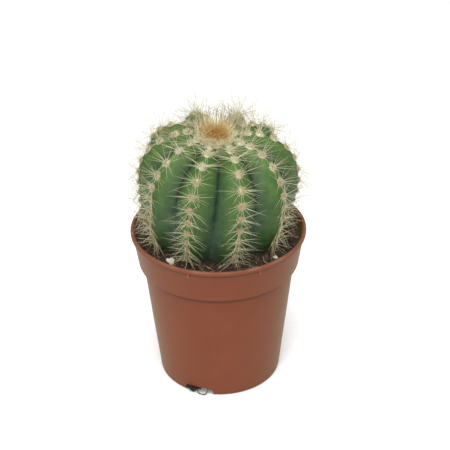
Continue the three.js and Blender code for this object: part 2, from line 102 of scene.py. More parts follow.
# Peat: its level, its clods as height, pitch and slice of the noise, and how it meets the pot
SOIL_LEVEL = 91.5
SOIL_BUMP = 0.8
BROAD_WAVE = 0.2
FINE_WAVE = 0.6
CLODS = ((1.1, 0.34, 3), (0.7, 0.85, 9))
PEAT_SIDES = 280
PEAT_RADIUS = 48.8
PEAT_FOOT_RADIUS = 35.7
PEAT_GAP = 0.3
FINE_RINGS_TO = 30
RING_PITCH = 0.7
WALL_RISE_FROM = 46
WALL_RISE = 0.25
BED_TONE = 0.3
CRUMBS_OF_A_SHAPE = 480
CRUMB_RING = (32, 47.6)
FIBRES = 420
FIBRE_RING = (34, 47.5)
FRONT_FIBRES = 260
FRONT_FIBRE_RING = (40, 47.5)
FRONT_MIDDLE = 3
FRONT_HALF = 14
FIBRE_REACH = 47.8
FIBRE_LENGTHS = (1.5, 6)
FIBRE_RADII = (0.12, 0.34)

# What hangs out of the front notch, as along it, height and outwards from the pot's axis
PEAT_LUMP_CENTRE = (-4.2, 4.2, 34)
PEAT_LUMP_HALF = (4.6, 4.6, 4.2)
PEAT_LUMP_BOTTOM = 0.4
PEAT_LUMP_TOP = 4.7
ROOT_RADIUS = 0.4
ROOT_PATH = ((-1.3, 2, 37.3), (-0.2, 0.9, 38), (1.8, 0.6, 38.3), (3.8, 0.8, 38.2), (4.9, 1.9, 37.2),
             (4.9, 3.1, 35.8), (4.5, 3.9, 34.4))

# Stem: its own frame starts near soil height and leans forwards and to the right
STEM_BASE = Vector((-4.6, 5.9, 90))
STEM_LEAN = Vector((0.101, -0.113, 1))
STEM_RADIUS = 46.8
STEM_MIDDLE = 34.1
STEM_UPPER_HEIGHT = 40.2
STEM_LOWER_HEIGHT = 50.2
UPPER_SQUARENESS = 2.8
LOWER_SQUARENESS = 2
CROWN_DIP = 4.8
CROWN_DIP_RADIUS = 11
CROWN_SHIFT = (-3.7, -3)
CROWN_SHIFT_RADIUS = 14
CREST_UPPER_POINTS = 1200
CREST_LOWER_POINTS = 900
STEM_RINGS = 190
SKIN_WANDER = 0.35
SKIN_PROUD = 0.15

# How the globe is lopsided: both flanks lie to the right, and two shoulders are low
FLANK_SHIFT = 2.2
FLANK_POWER = 6
RIGHT_FLANK_LEVEL = 38
RIGHT_FLANK_SPREAD = 26
LEFT_FLANK_LEVEL = 27
LEFT_FLANK_SPREAD = 15
LEFT_DROP = 1.5
LEFT_DROP_X = -32
LEFT_DROP_LEVEL = 62
LEFT_DROP_SPREAD = 14
BACK_DROP = 3.2
BACK_DROP_RADIUS = 28
BACK_DROP_SPREAD = 12

# Ribs: where each one's crest stands, from the front left round to the left
RIB_AZIMUTHS = (-20, 16.5, 53.5, 96, 131, 162, 205, 242, 274, 305)
RIB_COUNT = len(RIB_AZIMUTHS)
RIB_PITCH = 360 / RIB_COUNT
RIB_COLUMNS = 24
VALLEY_DEPTH = 9
VALLEY_STEEPNESS = 0.4
VALLEY_FADE = 0.3
CREST_SHARPNESS = 0.42

# Old scars: rib, distance down it, half length and half width
SCARS = ((7.15, 38, 6, 4), (7.25, 27, 4, 1.5), (8.17, 66, 8, 2.2), (3.9, 33, 5, 1.3))

# Areoles
AREOLE_START = 14
AREOLE_PHASE = 0.54
AREOLE_TURN = 0.3
AREOLE_GROWTH = 1.4
AREOLE_SPACING = 11.4
AREOLE_CROWDING = 0.06
AREOLE_SOIL_GAP = 3.2
AREOLE_DIP = 0.5
AREOLE_DIP_LENGTH = 2.4
AREOLE_DIP_WIDTH = 3.2

# Spines: an areole is young near the crown and old towards the soil
YOUNG_TO = 48
OLD_FROM = 55
OLD_OVER = 45
COMBED_TO = 34
COMBED_TURN = 110
RADIAL_SPINES = 14
GOLDEN_FEWER = 12
OLD_FEWER = 2
CENTRAL_SPINES = 4
RADIAL_RISES = (5, 42)
CENTRAL_RISES = (42, 80)
SPINE_JITTER = 0.35
SIDE_CROWDING = 0.35
SPINE_LENGTH = 6.6
SIDE_EXTRA = 3
YOUNG_EXTRA = 4
CHANCE_EXTRA = 7
CHANCE_RARITY = 2.2
SPINE_RADII = (0.055, 0.092)
SPINE_LIFT = 0.6
SPINE_SPREAD = 0.7
SPINE_SAG = 0.05
SPINE_SHRINKS = (1, 0.85, 0.7, 0.55, 0.4)
SPINE_CLEARANCE = 0.6
SPINE_REACH = 62
SPINE_TOP = 181

# Wool, by its distance from the crown
WOOL_HAIRS = 200
HAIR_RADIUS = 0.085
HAIR_LENGTHS = (0.7, 1.9)
FELT_SEAT = 0.1
FELT_SHARES = (0.7, 0.95, 0.26)
WOOL_SIZES = ((8, 14, 40, 65, 90), (2.1, 2.9, 2.5, 1.9, 1.5))
WOOL_TONES = ((15, 42, 75, 100), (0.0, 0.3, 0.65, 0.85))

# Crown: its bristles, and its youngest areoles as distance and turn in ribs
CROWN_BRISTLES = 760
CROWN_RADIUS = 9.0
CROWN_FORWARDS = 1.2
GOLDEN_ANGLE = 137.508
BRISTLE_LENGTHS = (4.2, 7.4)
BRISTLE_RADII = (0.09, 0.15)
BRISTLE_LEAN = 26
BRISTLE_JITTER = 9
BACK_BRISTLE_EXTRA = 7
CROWN_FELT_RADIUS = 8
CROWN_FELT_HEIGHT = 3.2
NEWBORN_AREOLES = ((9, 0), (10.5, 0.5), (12, 0.25))
NEWBORN_LIFT = 0.4
NEWBORN_SPINES = 8
FAN_LENGTHS = (5.5, 11)
FAN_RADII = (0.08, 0.12)
BACK_FAN_EXTRA = 6

# Camera, at the photograph's place
CAMERA_DISTANCE = 800
CAMERA_ELEVATION = 33.93
CAMERA_PIVOT_HEIGHT = 50
CAMERA_AIM = (3.98, 0, 99.1)
CAMERA_ROLL = -0.64
FOCAL_PIXELS = 1295.23
FRAME_PIXELS = 450
SENSOR_WIDTH = 36

stem_to_pot = Matrix.Translation(STEM_BASE) @ (
    Vector((0, 0, 1)).rotation_difference(STEM_LEAN.normalized()).to_matrix().to_4x4()
)
rng = np.random.default_rng(11)


# Colour and material nodes

def colour(code):
    """An sRGB hex value as linear red, green, blue and alpha."""
    parts = [int(code[i:i + 2], 16) / 255 for i in (1, 3, 5)]
    linear = [p / 12.92 if p <= 0.04045 else ((p + 0.055) / 1.055) ** 2.4 for p in parts]
    return (*linear, 1)


def set_inputs(made, inputs):
    """Sets a node's inputs, or links them to a socket or to a node's first output in use."""
    for key, value in inputs.items():
        if isinstance(value, bpy.types.Node):
            value = next(output for output in value.outputs if output.enabled)
        if isinstance(value, bpy.types.NodeSocket):
            made.id_data.links.new(value, made.inputs[key])
        else:
            made.inputs[key].default_value = colour(value) if isinstance(value, str) else value


def node(tree, kind, inputs=None, stops=None, **settings):
    """Adds a node, with its settings, its ramp stops, and its inputs set or linked."""
    made = tree.nodes.new("ShaderNode" + kind)
    for name, value in settings.items():
        setattr(made, name, value)
    if stops:
        elements = made.color_ramp.elements
        while len(elements) < len(stops):
            elements.new(0.5)
        for element, (position, code) in zip(elements, stops):
            element.position = position
            element.color = colour(code)
    set_inputs(made, inputs or {})
    return made


def every(size):
    """The scale of a pattern whose marks are a size in millimetres apart."""
    return 1 / (size * MM)


def new_material(name):
    """An empty material, its tree and its shader."""
    material = bpy.data.materials.new(name)
    material.use_nodes = True
    tree = material.node_tree
    return material, tree, tree.nodes["Principled BSDF"]


def moulded_polypropylene():
    """Injection-moulded, terracotta-coloured polypropylene.

    It looks satin, with faint flow marks, a rim lightened by dust and a painted highlight, and painted
    shade under the lip and the band.
    """
    material, tree, shader = new_material("moulded_polypropylene")
    place = node(tree, "TexCoord").outputs["Object"]
    cloud = node(tree, "TexNoise", {"Vector": place, "Scale": every(18.18), "Detail": 3})
    body = node(tree, "ValToRGB", {"Fac": cloud},
                stops=((0.3, "#683621"), (0.52, "#6a3723"), (0.72, "#6c3925")))
    drag = node(tree, "Mapping", {"Vector": place, "Scale": (every(3.846), every(3.846), every(45.45))})
    streak = node(tree, "TexNoise", {"Vector": drag, "Scale": 1, "Detail": 2})
    streaked = node(tree, "Mix", {0: 0.06, "A": body, "B": streak.outputs["Color"]},
                    data_type="RGBA", blend_type="SOFT_LIGHT")
    smudge = node(tree, "TexNoise", {"Vector": place, "Scale": every(5.882), "Detail": 5,
                                     "Roughness": 0.7})
    dirt = node(tree, "ValToRGB", {"Fac": smudge}, stops=((0.64, "#000000"), (0.78, "#7a7a7a")))
    dirty = node(tree, "Mix", {0: dirt, "A": streaked, "B": "#5c3324"}, data_type="RGBA")
    height = node(tree, "SeparateXYZ", {"Vector": place}).outputs["Z"]
    # The rim is lightened towards its top edge, partly by dust and partly by a painted highlight where
    # light catches the lip.
    rim_dust_and_highlight = node(tree, "MapRange", {"Value": height, "From Min": DUST_AND_HIGHLIGHT_BOTTOM * MM,
                                  "From Max": DUST_AND_HIGHLIGHT_TOP * MM, "To Max": 0.6})
    rim_mottle = node(tree, "TexNoise", {"Vector": place, "Scale": every(11.11), "Detail": 4})
    dust_and_highlight = node(tree, "ValToRGB", {"Fac": rim_mottle},
                stops=((0.35, "#6b4232"), (0.5, "#744b3b"), (0.68, "#84604f")))
    rim_lightened = node(tree, "Mix", {0: rim_dust_and_highlight, "A": dirty, "B": dust_and_highlight}, data_type="RGBA")
    # Painted shade: the body is darkened just under the band and just under the lip, where the
    # overhangs shade it.
    below_band = node(tree, "Math", {0: height, 1: BAND_SHADE_MIDDLE * MM, 2: BAND_SHADE_HALF * MM},
                      operation="COMPARE")
    nearer = node(tree, "MapRange", {"Value": height, "From Min": BAND_SHADE_NONE * MM,
                                     "From Max": BAND_SHADE_FULL * MM})
    under_band_shade = node(tree, "Math", {0: below_band, 1: nearer}, operation="MULTIPLY")
    under_lip_shade = node(tree, "Math", {0: height, 1: LIP_SHADE_MIDDLE * MM, 2: LIP_SHADE_HALF * MM},
                     operation="COMPARE")
    corners = node(tree, "Math", {0: under_band_shade, 1: under_lip_shade}, operation="ADD")
    painted_shade = node(tree, "Math", {0: corners, 1: 0.75}, operation="MULTIPLY")
    corner_shaded = node(tree, "Mix", {0: painted_shade, "A": rim_lightened, "B": "#42261b"}, data_type="RGBA")
    # The stacking lugs are painted a lighter tone than the pot.
    lug_tone = node(tree, "Attribute", attribute_name="lug_tone").outputs["Fac"]
    whole = node(tree, "Mix", {0: lug_tone, "A": corner_shaded, "B": "#874c37"}, data_type="RGBA")
    gloss = node(tree, "MapRange", {"Value": cloud, "To Min": 0.42, "To Max": 0.56})
    # The mould's grain is finer than this, and drawn as coarse as it needs to show
    grain = node(tree, "TexNoise", {"Vector": place, "Scale": every(0.7143), "Detail": 2})
    bump = node(tree, "Bump", {"Height": grain, "Strength": 0.12, "Distance": 0.0003})
    # The olive sheen tint is a painted reflection: it lightens the pot's edges towards olive at grazing
    # angles.
    set_inputs(shader, {"Base Color": whole, "Roughness": gloss, "Normal": bump, "IOR": 1.49,
                        "Specular IOR Level": 0.13, "Sheen Weight": 0.15, "Sheen Roughness": 0.4,
                        "Sheen Tint": "#8fb050"})
    return material


def waxy_skin():
    """Living cactus skin under its wax.

    It looks satin: yellow-green at the crests and greyer down the globe. Its valleys are a bluer green
    darkened by painted shade, its middle has painted shade, and its foot and lower valleys have painted
    light.
    """
    material, tree, shader = new_material("waxy_cactus_skin")
    place = node(tree, "TexCoord").outputs["Object"]
    down = node(tree, "Attribute", attribute_name="down").outputs["Fac"]
    valley = node(tree, "Attribute", attribute_name="valley").outputs["Fac"]
    wander = node(tree, "TexNoise", {"Vector": place, "Scale": every(14.29), "Detail": 4,
                                     "Roughness": 0.6})
    moved = node(tree, "MapRange", {"Value": wander, "To Min": -0.16, "To Max": 0.16})
    level = node(tree, "Math", {0: down, 1: moved}, operation="ADD")
    # Partly the skin's own colour, yellow-green above and greyer below, and partly painted shade and
    # light: darker down the middle as painted shade under the top light, and lighter at the foot as
    # painted light that offsets the shade there.
    flesh_and_shade = node(tree, "ValToRGB", {"Fac": level},
                 stops=((0.08, "#49652c"), (0.36, "#395423"), (0.6, "#2e4621"), (0.8, "#435538"),
                        (0.97, "#647158")))
    # The valley slopes are partly a bluer green of their own and partly painted shade; low down they
    # turn lighter, painted light that offsets their shade.
    slope_tint_and_shade = node(tree, "MapRange", {"Value": valley, "From Min": 0.25, "From Max": 0.9, "To Max": 0.68})
    cool_tint_and_shade = node(tree, "ValToRGB", {"Fac": level}, stops=((0.45, "#2a3f2f"), (0.72, "#4f6452")))
    slope_tinted_and_shaded = node(tree, "Mix", {0: slope_tint_and_shade, "A": flesh_and_shade, "B": cool_tint_and_shade}, data_type="RGBA")
    # Painted shade: the valley bottoms are painted near-black high up, where the creases are shaded,
    # and paler low down as painted light that offsets their shade.
    crease_shade = node(tree, "MapRange", {"Value": valley, "From Min": 0.8, "To Max": 0.8})
    crease_shade_colour = node(tree, "ValToRGB", {"Fac": level}, stops=((0.42, "#15241b"), (0.68, "#5a6c5e")))
    crease_shaded = node(tree, "Mix", {0: crease_shade, "A": slope_tinted_and_shaded, "B": crease_shade_colour}, data_type="RGBA")
    crest = node(tree, "ValToRGB", {"Fac": valley},
                 stops=((0.0, "#8c8c8c"), (0.05, "#303030"), (0.3, "#000000")))
    cord = node(tree, "ValToRGB", {"Fac": level}, stops=((0.5, "#637c3e"), (0.66, "#97855a")))
    pale = node(tree, "Mix", {0: crest, "A": crease_shaded, "B": cord}, data_type="RGBA")
    freckle = node(tree, "TexNoise", {"Vector": place, "Scale": every(2.381), "Detail": 3,
                                      "Roughness": 0.7})
    freckles = node(tree, "ValToRGB", {"Fac": freckle}, stops=((0.56, "#000000"), (0.72, "#606060")))
    freckled = node(tree, "Mix", {0: freckles, "A": pale, "B": "#5c783c"}, data_type="RGBA")
    scar = node(tree, "Attribute", attribute_name="scar").outputs["Fac"]
    ragged = node(tree, "Math", {0: scar, 1: freckle}, operation="MULTIPLY")
    scarring = node(tree, "MapRange", {"Value": ragged, "From Min": 0.12, "From Max": 0.4,
                                       "To Max": 0.45})
    marked = node(tree, "Mix", {0: scarring, "A": freckled, "B": "#6b6040"}, data_type="RGBA")
    mottle = node(tree, "TexNoise", {"Vector": place, "Scale": every(5.263), "Detail": 5,
                                     "Roughness": 0.65})
    cloudy = node(tree, "MapRange", {"Value": mottle, "From Min": 0.35, "From Max": 0.65,
                                     "To Min": 0.2, "To Max": 0.8})
    mottled = node(tree, "Mix", {0: 0.4, "A": marked, "B": cloudy},
                   data_type="RGBA", blend_type="SOFT_LIGHT")
    wax = node(tree, "MapRange", {"Value": wander, "To Min": 0.42, "To Max": 0.6})
    # The skin's pores are finer than this, and drawn as coarse as they need to show
    pores = node(tree, "TexNoise", {"Vector": place, "Scale": every(1.111), "Detail": 3})
    bump = node(tree, "Bump", {"Height": pores, "Strength": 0.25, "Distance": 0.0004})
    set_inputs(shader, {"Base Color": mottled, "Roughness": wax, "Normal": bump, "IOR": 1.4,
                        "Specular IOR Level": 0.4, "Subsurface Weight": 0.05,
                        "Subsurface Radius": (0.4, 1.0, 0.2), "Subsurface Scale": 0.001})
    return material


def strand_material(name, root_stops, tip_stops, tip_from, tip_to, finish):
    """Dry plant fibre that changes colour from its root to its tip, with no two quite alike."""
    material, tree, shader = new_material(name)
    tone = node(tree, "Attribute", attribute_name="tone").outputs["Fac"]
    along = node(tree, "Attribute", attribute_name="along").outputs["Fac"]
    root = node(tree, "ValToRGB", {"Fac": tone}, stops=root_stops)
    tip = node(tree, "ValToRGB", {"Fac": tone}, stops=tip_stops)
    share = node(tree, "MapRange", {"Value": along, "From Min": tip_from, "From Max": tip_to})
    whole = node(tree, "Mix", {0: share, "A": root, "B": tip}, data_type="RGBA")
    set_inputs(shader, {"Base Color": whole, **finish})
    return material


def straw_spine():
    """Cactus spines: hard, glassy cream, browner towards the tip, and golden where they are young."""
    return strand_material(
        "straw_spine",
        ((0.0, "#d0ccab"), (0.5, "#bcb286"), (1.0, "#a18c5a")),
        ((0.0, "#a8a37e"), (0.5, "#8f8664"), (1.0, "#7a6d49")),
        0.25, 0.8, {"Roughness": 0.4})


def areole_wool():
    """Felted areole wool: matte greenish cream, tan where it is old."""
    return strand_material(
        "areole_wool",
        ((0.0, "#cfc8a5"), (0.5, "#b29a70"), (1.0, "#a37f50")),
        ((0.0, "#dfdbbd"), (0.5, "#c9bf97"), (1.0, "#c0aa78")),
        0.0, 1.0, {"Roughness": 0.95, "Sheen Weight": 0.2, "Sheen Roughness": 0.6})


def golden_bristle():
    """Young crown bristles: golden brown at the root and straw at the tip."""
    return strand_material(
        "golden_bristle",
        ((0.0, "#8d6126"), (0.5, "#b08b49"), (1.0, "#d5c995")),
        ((0.0, "#ab7d37"), (0.5, "#c9af72"), (1.0, "#e6dfba")),
        0.1, 0.8, {"Roughness": 0.5})


def peat_fibre():
    """Moss and root fibre in the peat: dry, red-brown to tan."""
    return strand_material(
        "peat_fibre",
        ((0.0, "#45301f"), (0.5, "#7a543a"), (1.0, "#a07c58")),
        ((0.0, "#553c29"), (0.5, "#8a6446"), (1.0, "#b29571")),
        0.0, 1.0, {"Roughness": 0.85})


def peat_crumb():
    """Crumbled peat: dark and matte, with red-brown and black bits, almost black where wet."""
    material, tree, shader = new_material("crumbled_peat")
    place = node(tree, "TexCoord").outputs["Object"]
    clods = node(tree, "TexNoise", {"Vector": place, "Scale": every(2.381), "Detail": 6,
                                    "Roughness": 0.75})
    tone = node(tree, "Attribute", attribute_name="tone").outputs["Fac"]
    shade = node(tree, "ValToRGB", {"Fac": clods},
                 stops=((0.3, "#1a140e"), (0.48, "#30251a"), (0.62, "#50402c"), (0.76, "#7a6044")))
    piece = node(tree, "ValToRGB", {"Fac": tone},
                 stops=((0.0, "#1a140f"), (0.5, "#382b20"), (0.8, "#5c4230"), (1.0, "#86654c")))
    whole = node(tree, "Mix", {0: 0.6, "A": shade, "B": piece}, data_type="RGBA")
    wet = node(tree, "Attribute", attribute_name="wet").outputs["Fac"]
    soaked = node(tree, "Math", {0: wet, 1: 0.8}, operation="MULTIPLY")
    darker = node(tree, "Mix", {0: soaked, "A": whole, "B": "#0c0a09"}, data_type="RGBA")
    bump = node(tree, "Bump", {"Height": clods, "Strength": 0.8, "Distance": 0.0008})
    set_inputs(shader, {"Base Color": darker, "Normal": bump, "Roughness": 0.95})
    return material


def expanded_perlite():
    """Expanded perlite: chalk white, matte and pitted."""
    material, tree, shader = new_material("expanded_perlite")
    place = node(tree, "TexCoord").outputs["Object"]
    pits = node(tree, "TexVoronoi", {"Vector": place, "Scale": every(0.9091)})
    shade = node(tree, "ValToRGB", {"Fac": pits},
                 stops=((0.0, "#8f8475"), (0.25, "#bdb3a2"), (0.7, "#d6cebe")))
    bump = node(tree, "Bump", {"Height": pits, "Strength": 0.7, "Distance": 0.0004})
    set_inputs(shader, {"Base Color": shade, "Normal": bump, "Roughness": 0.95})
    return material


def bark_chip():
    """Composted bark: tan, ridged along its grain."""
    material, tree, shader = new_material("composted_bark")
    place = node(tree, "TexCoord").outputs["Object"]
    drawn = node(tree, "Mapping", {"Vector": place,
                                   "Scale": (every(2.857), every(0.9091), every(1.111))})
    ridges = node(tree, "TexNoise", {"Vector": drawn, "Scale": 1, "Detail": 4})
    shade = node(tree, "ValToRGB", {"Fac": ridges},
                 stops=((0.3, "#5f4431"), (0.5, "#8a6a4c"), (0.7, "#b0916e")))
    bump = node(tree, "Bump", {"Height": ridges, "Strength": 0.6, "Distance": 0.0004})
    set_inputs(shader, {"Base Color": shade, "Normal": bump, "Roughness": 0.9})
    return material


def root_skin():
    """A dried feeder root: grey-green, with paler scuffed lengths."""
    material, tree, shader = new_material("dried_root_skin")
    place = node(tree, "TexCoord").outputs["Object"]
    flecks = node(tree, "TexNoise", {"Vector": place, "Scale": every(1.429), "Detail": 3})
    shade = node(tree, "ValToRGB", {"Fac": flecks},
                 stops=((0.3, "#3c3f37"), (0.55, "#5c5e52"), (0.75, "#86867a")))
    set_inputs(shader, {"Base Color": shade, "Roughness": 0.8})
    return material


def pale_sweep():
    """Matte white studio paper, painted a little greyer away from the pot: a painted pool of light
    round the pot.
    """
    material, tree, shader = new_material("matte_studio_paper")
    place = node(tree, "TexCoord").outputs["Object"]
    # The paper's fibres are finer than this, and drawn as coarse as they need to show
    fibre = node(tree, "TexNoise", {"Vector": place, "Scale": every(3.333), "Detail": 2})
    shade = node(tree, "ValToRGB", {"Fac": fibre}, stops=((0.3, "#f6f6f6"), (0.7, "#fafafa")))
    # Painted light: the paper is lighter round the pot and greyer further off, a painted pool of light
    # that washes out the pot's shadow.
    away = node(tree, "VectorMath", {0: place}, operation="LENGTH")
    far = node(tree, "MapRange", {"Value": away, "From Min": 0.11, "From Max": 0.24})
    paper = node(tree, "Mix", {0: far, "A": shade, "B": "#e4e4e4"}, data_type="RGBA")
    set_inputs(shader, {"Base Color": paper, "Roughness": 0.9, "Specular IOR Level": 0.2})
    return material


# Making and finishing pieces

def deselect():
    """Leaves edit mode, with no object selected."""
    if bpy.context.object and bpy.context.object.mode != "OBJECT":
        bpy.ops.object.mode_set(mode="OBJECT")
    bpy.ops.object.select_all(action="DESELECT")


def pick(piece):
    """Selects one piece alone."""
    deselect()
    piece.select_set(True)
    bpy.context.view_layer.objects.active = piece


def edit(piece):
    """Opens a piece for editing, with nothing selected."""
    pick(piece)
    bpy.ops.object.mode_set(mode="EDIT")
    bpy.ops.mesh.select_all(action="DESELECT")


def select_edges(piece, wanted):
    """Selects the edges of a piece in edit mode whose two ends pass a test."""
    mesh = bmesh.from_edit_mesh(piece.data)
    for edge in mesh.edges:
        edge.select_set(wanted(*(end.co for end in edge.verts)))
    bmesh.update_edit_mesh(piece.data)


def settle(piece):
    """Puts a piece's place, turn and scale into its mesh."""
    pick(piece)
    bpy.ops.object.transform_apply(location=True, rotation=True, scale=True)


def apply_modifiers(piece):
    pick(piece)
    for modifier in list(piece.modifiers):
        bpy.ops.object.modifier_apply(modifier=modifier.name)


def face_outwards(piece):
    edit(piece)
    bpy.ops.mesh.select_all(action="SELECT")
    bpy.ops.mesh.remove_doubles(threshold=0.01 * MM)
    bpy.ops.mesh.normals_make_consistent(inside=False)
    bpy.ops.object.mode_set(mode="OBJECT")


def smooth(piece, degrees):
    pick(piece)
    bpy.ops.object.shade_smooth_by_angle(angle=math.radians(degrees))


def dress(piece, material, slot, *nodes):
    """Gives a finished piece its material and its place among the object's nodes."""
    piece.data.materials.clear()
    piece.data.materials.append(material)
    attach(piece, "root")
    if nodes:
        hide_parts(*nodes)


def points_of(piece, measure=MM):
    """A mesh's points, in millimetres or in another measure."""
    flat = np.empty(len(piece.data.vertices) * 3)
    piece.data.vertices.foreach_get("co", flat)
    return flat.reshape(-1, 3) / measure


def move_points(piece, points, measure=MM):
    piece.data.vertices.foreach_set("co", (points * measure).ravel())
    piece.data.update()


def add_values(mesh, name, values):
    """Stores one number a point, which the materials read."""
    layer = mesh.attributes.new(name, "FLOAT", "POINT")
    layer.data.foreach_set("value", np.asarray(values, dtype=np.float32))


def block(size):
    """A block of a size in millimetres, round the origin."""
    deselect()
    bpy.ops.mesh.primitive_cube_add(size=1)
    piece = bpy.context.object
    piece.scale = [side * MM for side in size]
    settle(piece)
    return piece


def rough_ball(rounds, waves):
    """A ball 1 in radius, and its points roughened by waves of noise: height, pitch and offset."""
    deselect()
    bpy.ops.mesh.primitive_ico_sphere_add(subdivisions=rounds, radius=1)
    piece = bpy.context.object
    points = points_of(piece, 1)
    for index, point in enumerate(points):
        heights = (height * noise.noise(Vector(point) * pitch + Vector(offset))
                   for height, pitch, offset in waves)
        points[index] = point * sum(heights, 1)
    return piece, points


# Shapes that are modelled once and copied

def shape_of(piece):
    """The points of a shape, and its faces as lists of point numbers. The object is then removed."""
    points = points_of(piece, 1)
    faces = [tuple(polygon.vertices) for polygon in piece.data.polygons]
    bpy.data.objects.remove(piece)
    return points, faces


def slim_shape(sides, cuts, widths):
    """A slim pointed body from 0 to 1 along Z: its widths are shares of its radius, evenly spaced."""
    deselect()
    bpy.ops.mesh.primitive_cone_add(vertices=sides, radius1=1, radius2=1, depth=1,
                                    location=(0, 0, 0.5))
    piece = bpy.context.object
    settle(piece)
    edit(piece)
    select_edges(piece, lambda one, other: abs(one.z - other.z) > 0.5)
    bpy.ops.mesh.subdivide(number_cuts=cuts)
    bpy.ops.object.mode_set(mode="OBJECT")
    points = points_of(piece, 1)
    width = np.interp(points[:, 2], np.linspace(0, 1, len(widths)), widths)
    points[:, :2] *= width[:, None]
    move_points(piece, points, 1)
    return shape_of(piece)


def lump_shape(seed, roughness, rounds):
    """A rough lump about 1 in radius."""
    piece, points = rough_ball(rounds, ((roughness, 1.3, (seed * 7.1, seed * 3.3, 0)),))
    move_points(piece, points, 1)
    return shape_of(piece)


def copies(name, shape, roots, across, forwards, heights, bends, values):
    """One mesh of a shape's copies. Each has its root, its two half widths, its height and its bend."""
    points, faces = shape
    count = len(roots)
    x, y, z = (points[:, axis][None, :, None] for axis in range(3))
    placed = (roots[:, None, :] + across[:, None, :] * x + forwards[:, None, :] * y
              + heights[:, None, :] * z + bends[:, None, :] * z * z)
    sizes = np.array([len(face) for face in faces])
    corners = np.concatenate([np.array(face) for face in faces])
    shift = (np.arange(count) * len(points))[:, None]
    all_corners = (corners[None, :] + shift).ravel()
    all_sizes = np.tile(sizes, count)
    mesh = bpy.data.meshes.new(name)
    mesh.vertices.add(count * len(points))
    mesh.vertices.foreach_set("co", (placed.reshape(-1, 3) * MM).ravel())
    mesh.loops.add(len(all_corners))
    mesh.loops.foreach_set("vertex_index", all_corners)
    mesh.polygons.add(len(all_sizes))
    mesh.polygons.foreach_set("loop_start", np.concatenate([[0], np.cumsum(all_sizes)[:-1]]))
    mesh.update(calc_edges=True)
    mesh.polygons.foreach_set("use_smooth", np.ones(len(all_sizes), dtype=bool))
    add_values(mesh, "along", np.tile(points[:, 2], count))
    for key, numbers in values.items():
        add_values(mesh, key, np.repeat(numbers, len(points)))
    piece = bpy.data.objects.new(name, mesh)
    bpy.context.scene.collection.objects.link(piece)
    return piece


def joined(name, pieces):
    """Several pieces as one object."""
    deselect()
    for piece in pieces:
        piece.select_set(True)
    bpy.context.view_layer.objects.active = pieces[0]
    bpy.ops.object.join()
    pieces[0].name = name
    pieces[0].data.name = name
    return pieces[0]


def unit(vectors):
    return vectors / np.linalg.norm(vectors, axis=-1, keepdims=True)


def times(vectors, numbers):
    """Each vector times its own number."""
    return vectors * numbers[:, None]


def square_to(directions):
    """Two unit vectors square to each direction and to each other, turned at random."""
    away = unit(rng.normal(size=directions.shape))
    across = unit(np.cross(directions, away))
    return across, np.cross(directions, across)


def strands(name, shape, roots, directions, lengths, radii, bends, tones):
    """Copies of a slim shape along their directions."""
    directions = unit(directions)
    across, forwards = square_to(directions)
    return copies(name, shape, roots, times(across, radii), times(forwards, radii),
                  times(directions, lengths), bends, {"tone": tones})


# The globe's skin

def on_circle(azimuth, radius, height):
    """Points on level circles, by their azimuth in degrees."""
    angle = np.radians(azimuth)
    return np.stack([radius * np.sin(angle), -radius * np.cos(angle), height + 0 * angle], axis=-1)


def crest_line():
    """The line of a rib's crest from the crown to the base: distance, radius, height, direction."""
    upper = 0.5 * math.pi * np.linspace(0, 1, CREST_UPPER_POINTS) ** 2
    lower = 0.5 * math.pi * np.linspace(0, 1, CREST_LOWER_POINTS)[1:]
    radius = np.concatenate([STEM_RADIUS * np.sin(upper) ** (2 / UPPER_SQUARENESS),
                             STEM_RADIUS * np.maximum(np.cos(lower), 0) ** (2 / LOWER_SQUARENESS)])
    rise = STEM_UPPER_HEIGHT * np.maximum(np.cos(upper), 0) ** (2 / UPPER_SQUARENESS)
    fall = STEM_LOWER_HEIGHT * np.sin(lower) ** (2 / LOWER_SQUARENESS)
    dip = CROWN_DIP * np.exp(-((radius[:CREST_UPPER_POINTS] / CROWN_DIP_RADIUS) ** 2))
    height = STEM_MIDDLE + np.concatenate([rise - dip, -fall])
    step = np.hypot(np.diff(radius), np.diff(height))
    distance = np.concatenate([[0], np.cumsum(step)])
    along_radius = np.gradient(radius, distance)
    along_height = np.gradient(height, distance)
    size = np.hypot(along_radius, along_height)
    return distance, radius, height, along_radius / size, along_height / size


crest = crest_line()
crest_length = crest[0][-1]


def crest_at(distance):
    """Radius, height and downward direction of the crest at a distance from the crown."""
    return [np.interp(distance, crest[0], column) for column in crest[1:]]


def azimuth_at(ribs):
    """The azimuth at a number of ribs round: 0 is the first rib's crest and 0.5 the next valley."""
    whole_turns = np.floor(ribs / RIB_COUNT)
    crests = [*RIB_AZIMUTHS, RIB_AZIMUTHS[0] + 360]
    within = np.interp(ribs - RIB_COUNT * whole_turns, np.arange(RIB_COUNT + 1), crests)
    return within + 360 * whole_turns


def crown_shift(radius, height):
    """How far the off-centre growing point draws the crown with it."""
    share = np.where(height > STEM_MIDDLE, np.exp(-((radius / CROWN_SHIFT_RADIUS) ** 2)), 0)
    return np.stack([CROWN_SHIFT[0] * share, CROWN_SHIFT[1] * share, 0 * share], axis=-1)


def valley_share(ribs):
    """0 on a rib's crest and 1 at the bottom of a valley."""
    from_crest = 1 - np.abs(2 * np.mod(ribs, 1) - 1)
    rounded = 1 - np.cos(0.5 * math.pi * from_crest)
    return rounded + (from_crest - rounded) * CREST_SHARPNESS


def valley_sink(radius, height, ribs):
    """How far the skin lies inside the crest's line."""
    below = np.maximum(0, (STEM_MIDDLE - height) / STEM_MIDDLE)
    depth = VALLEY_DEPTH * np.tanh((VALLEY_STEEPNESS * radius) / VALLEY_DEPTH)
    return depth * np.maximum(0, 1 - VALLEY_FADE * below ** 2) * valley_share(ribs)


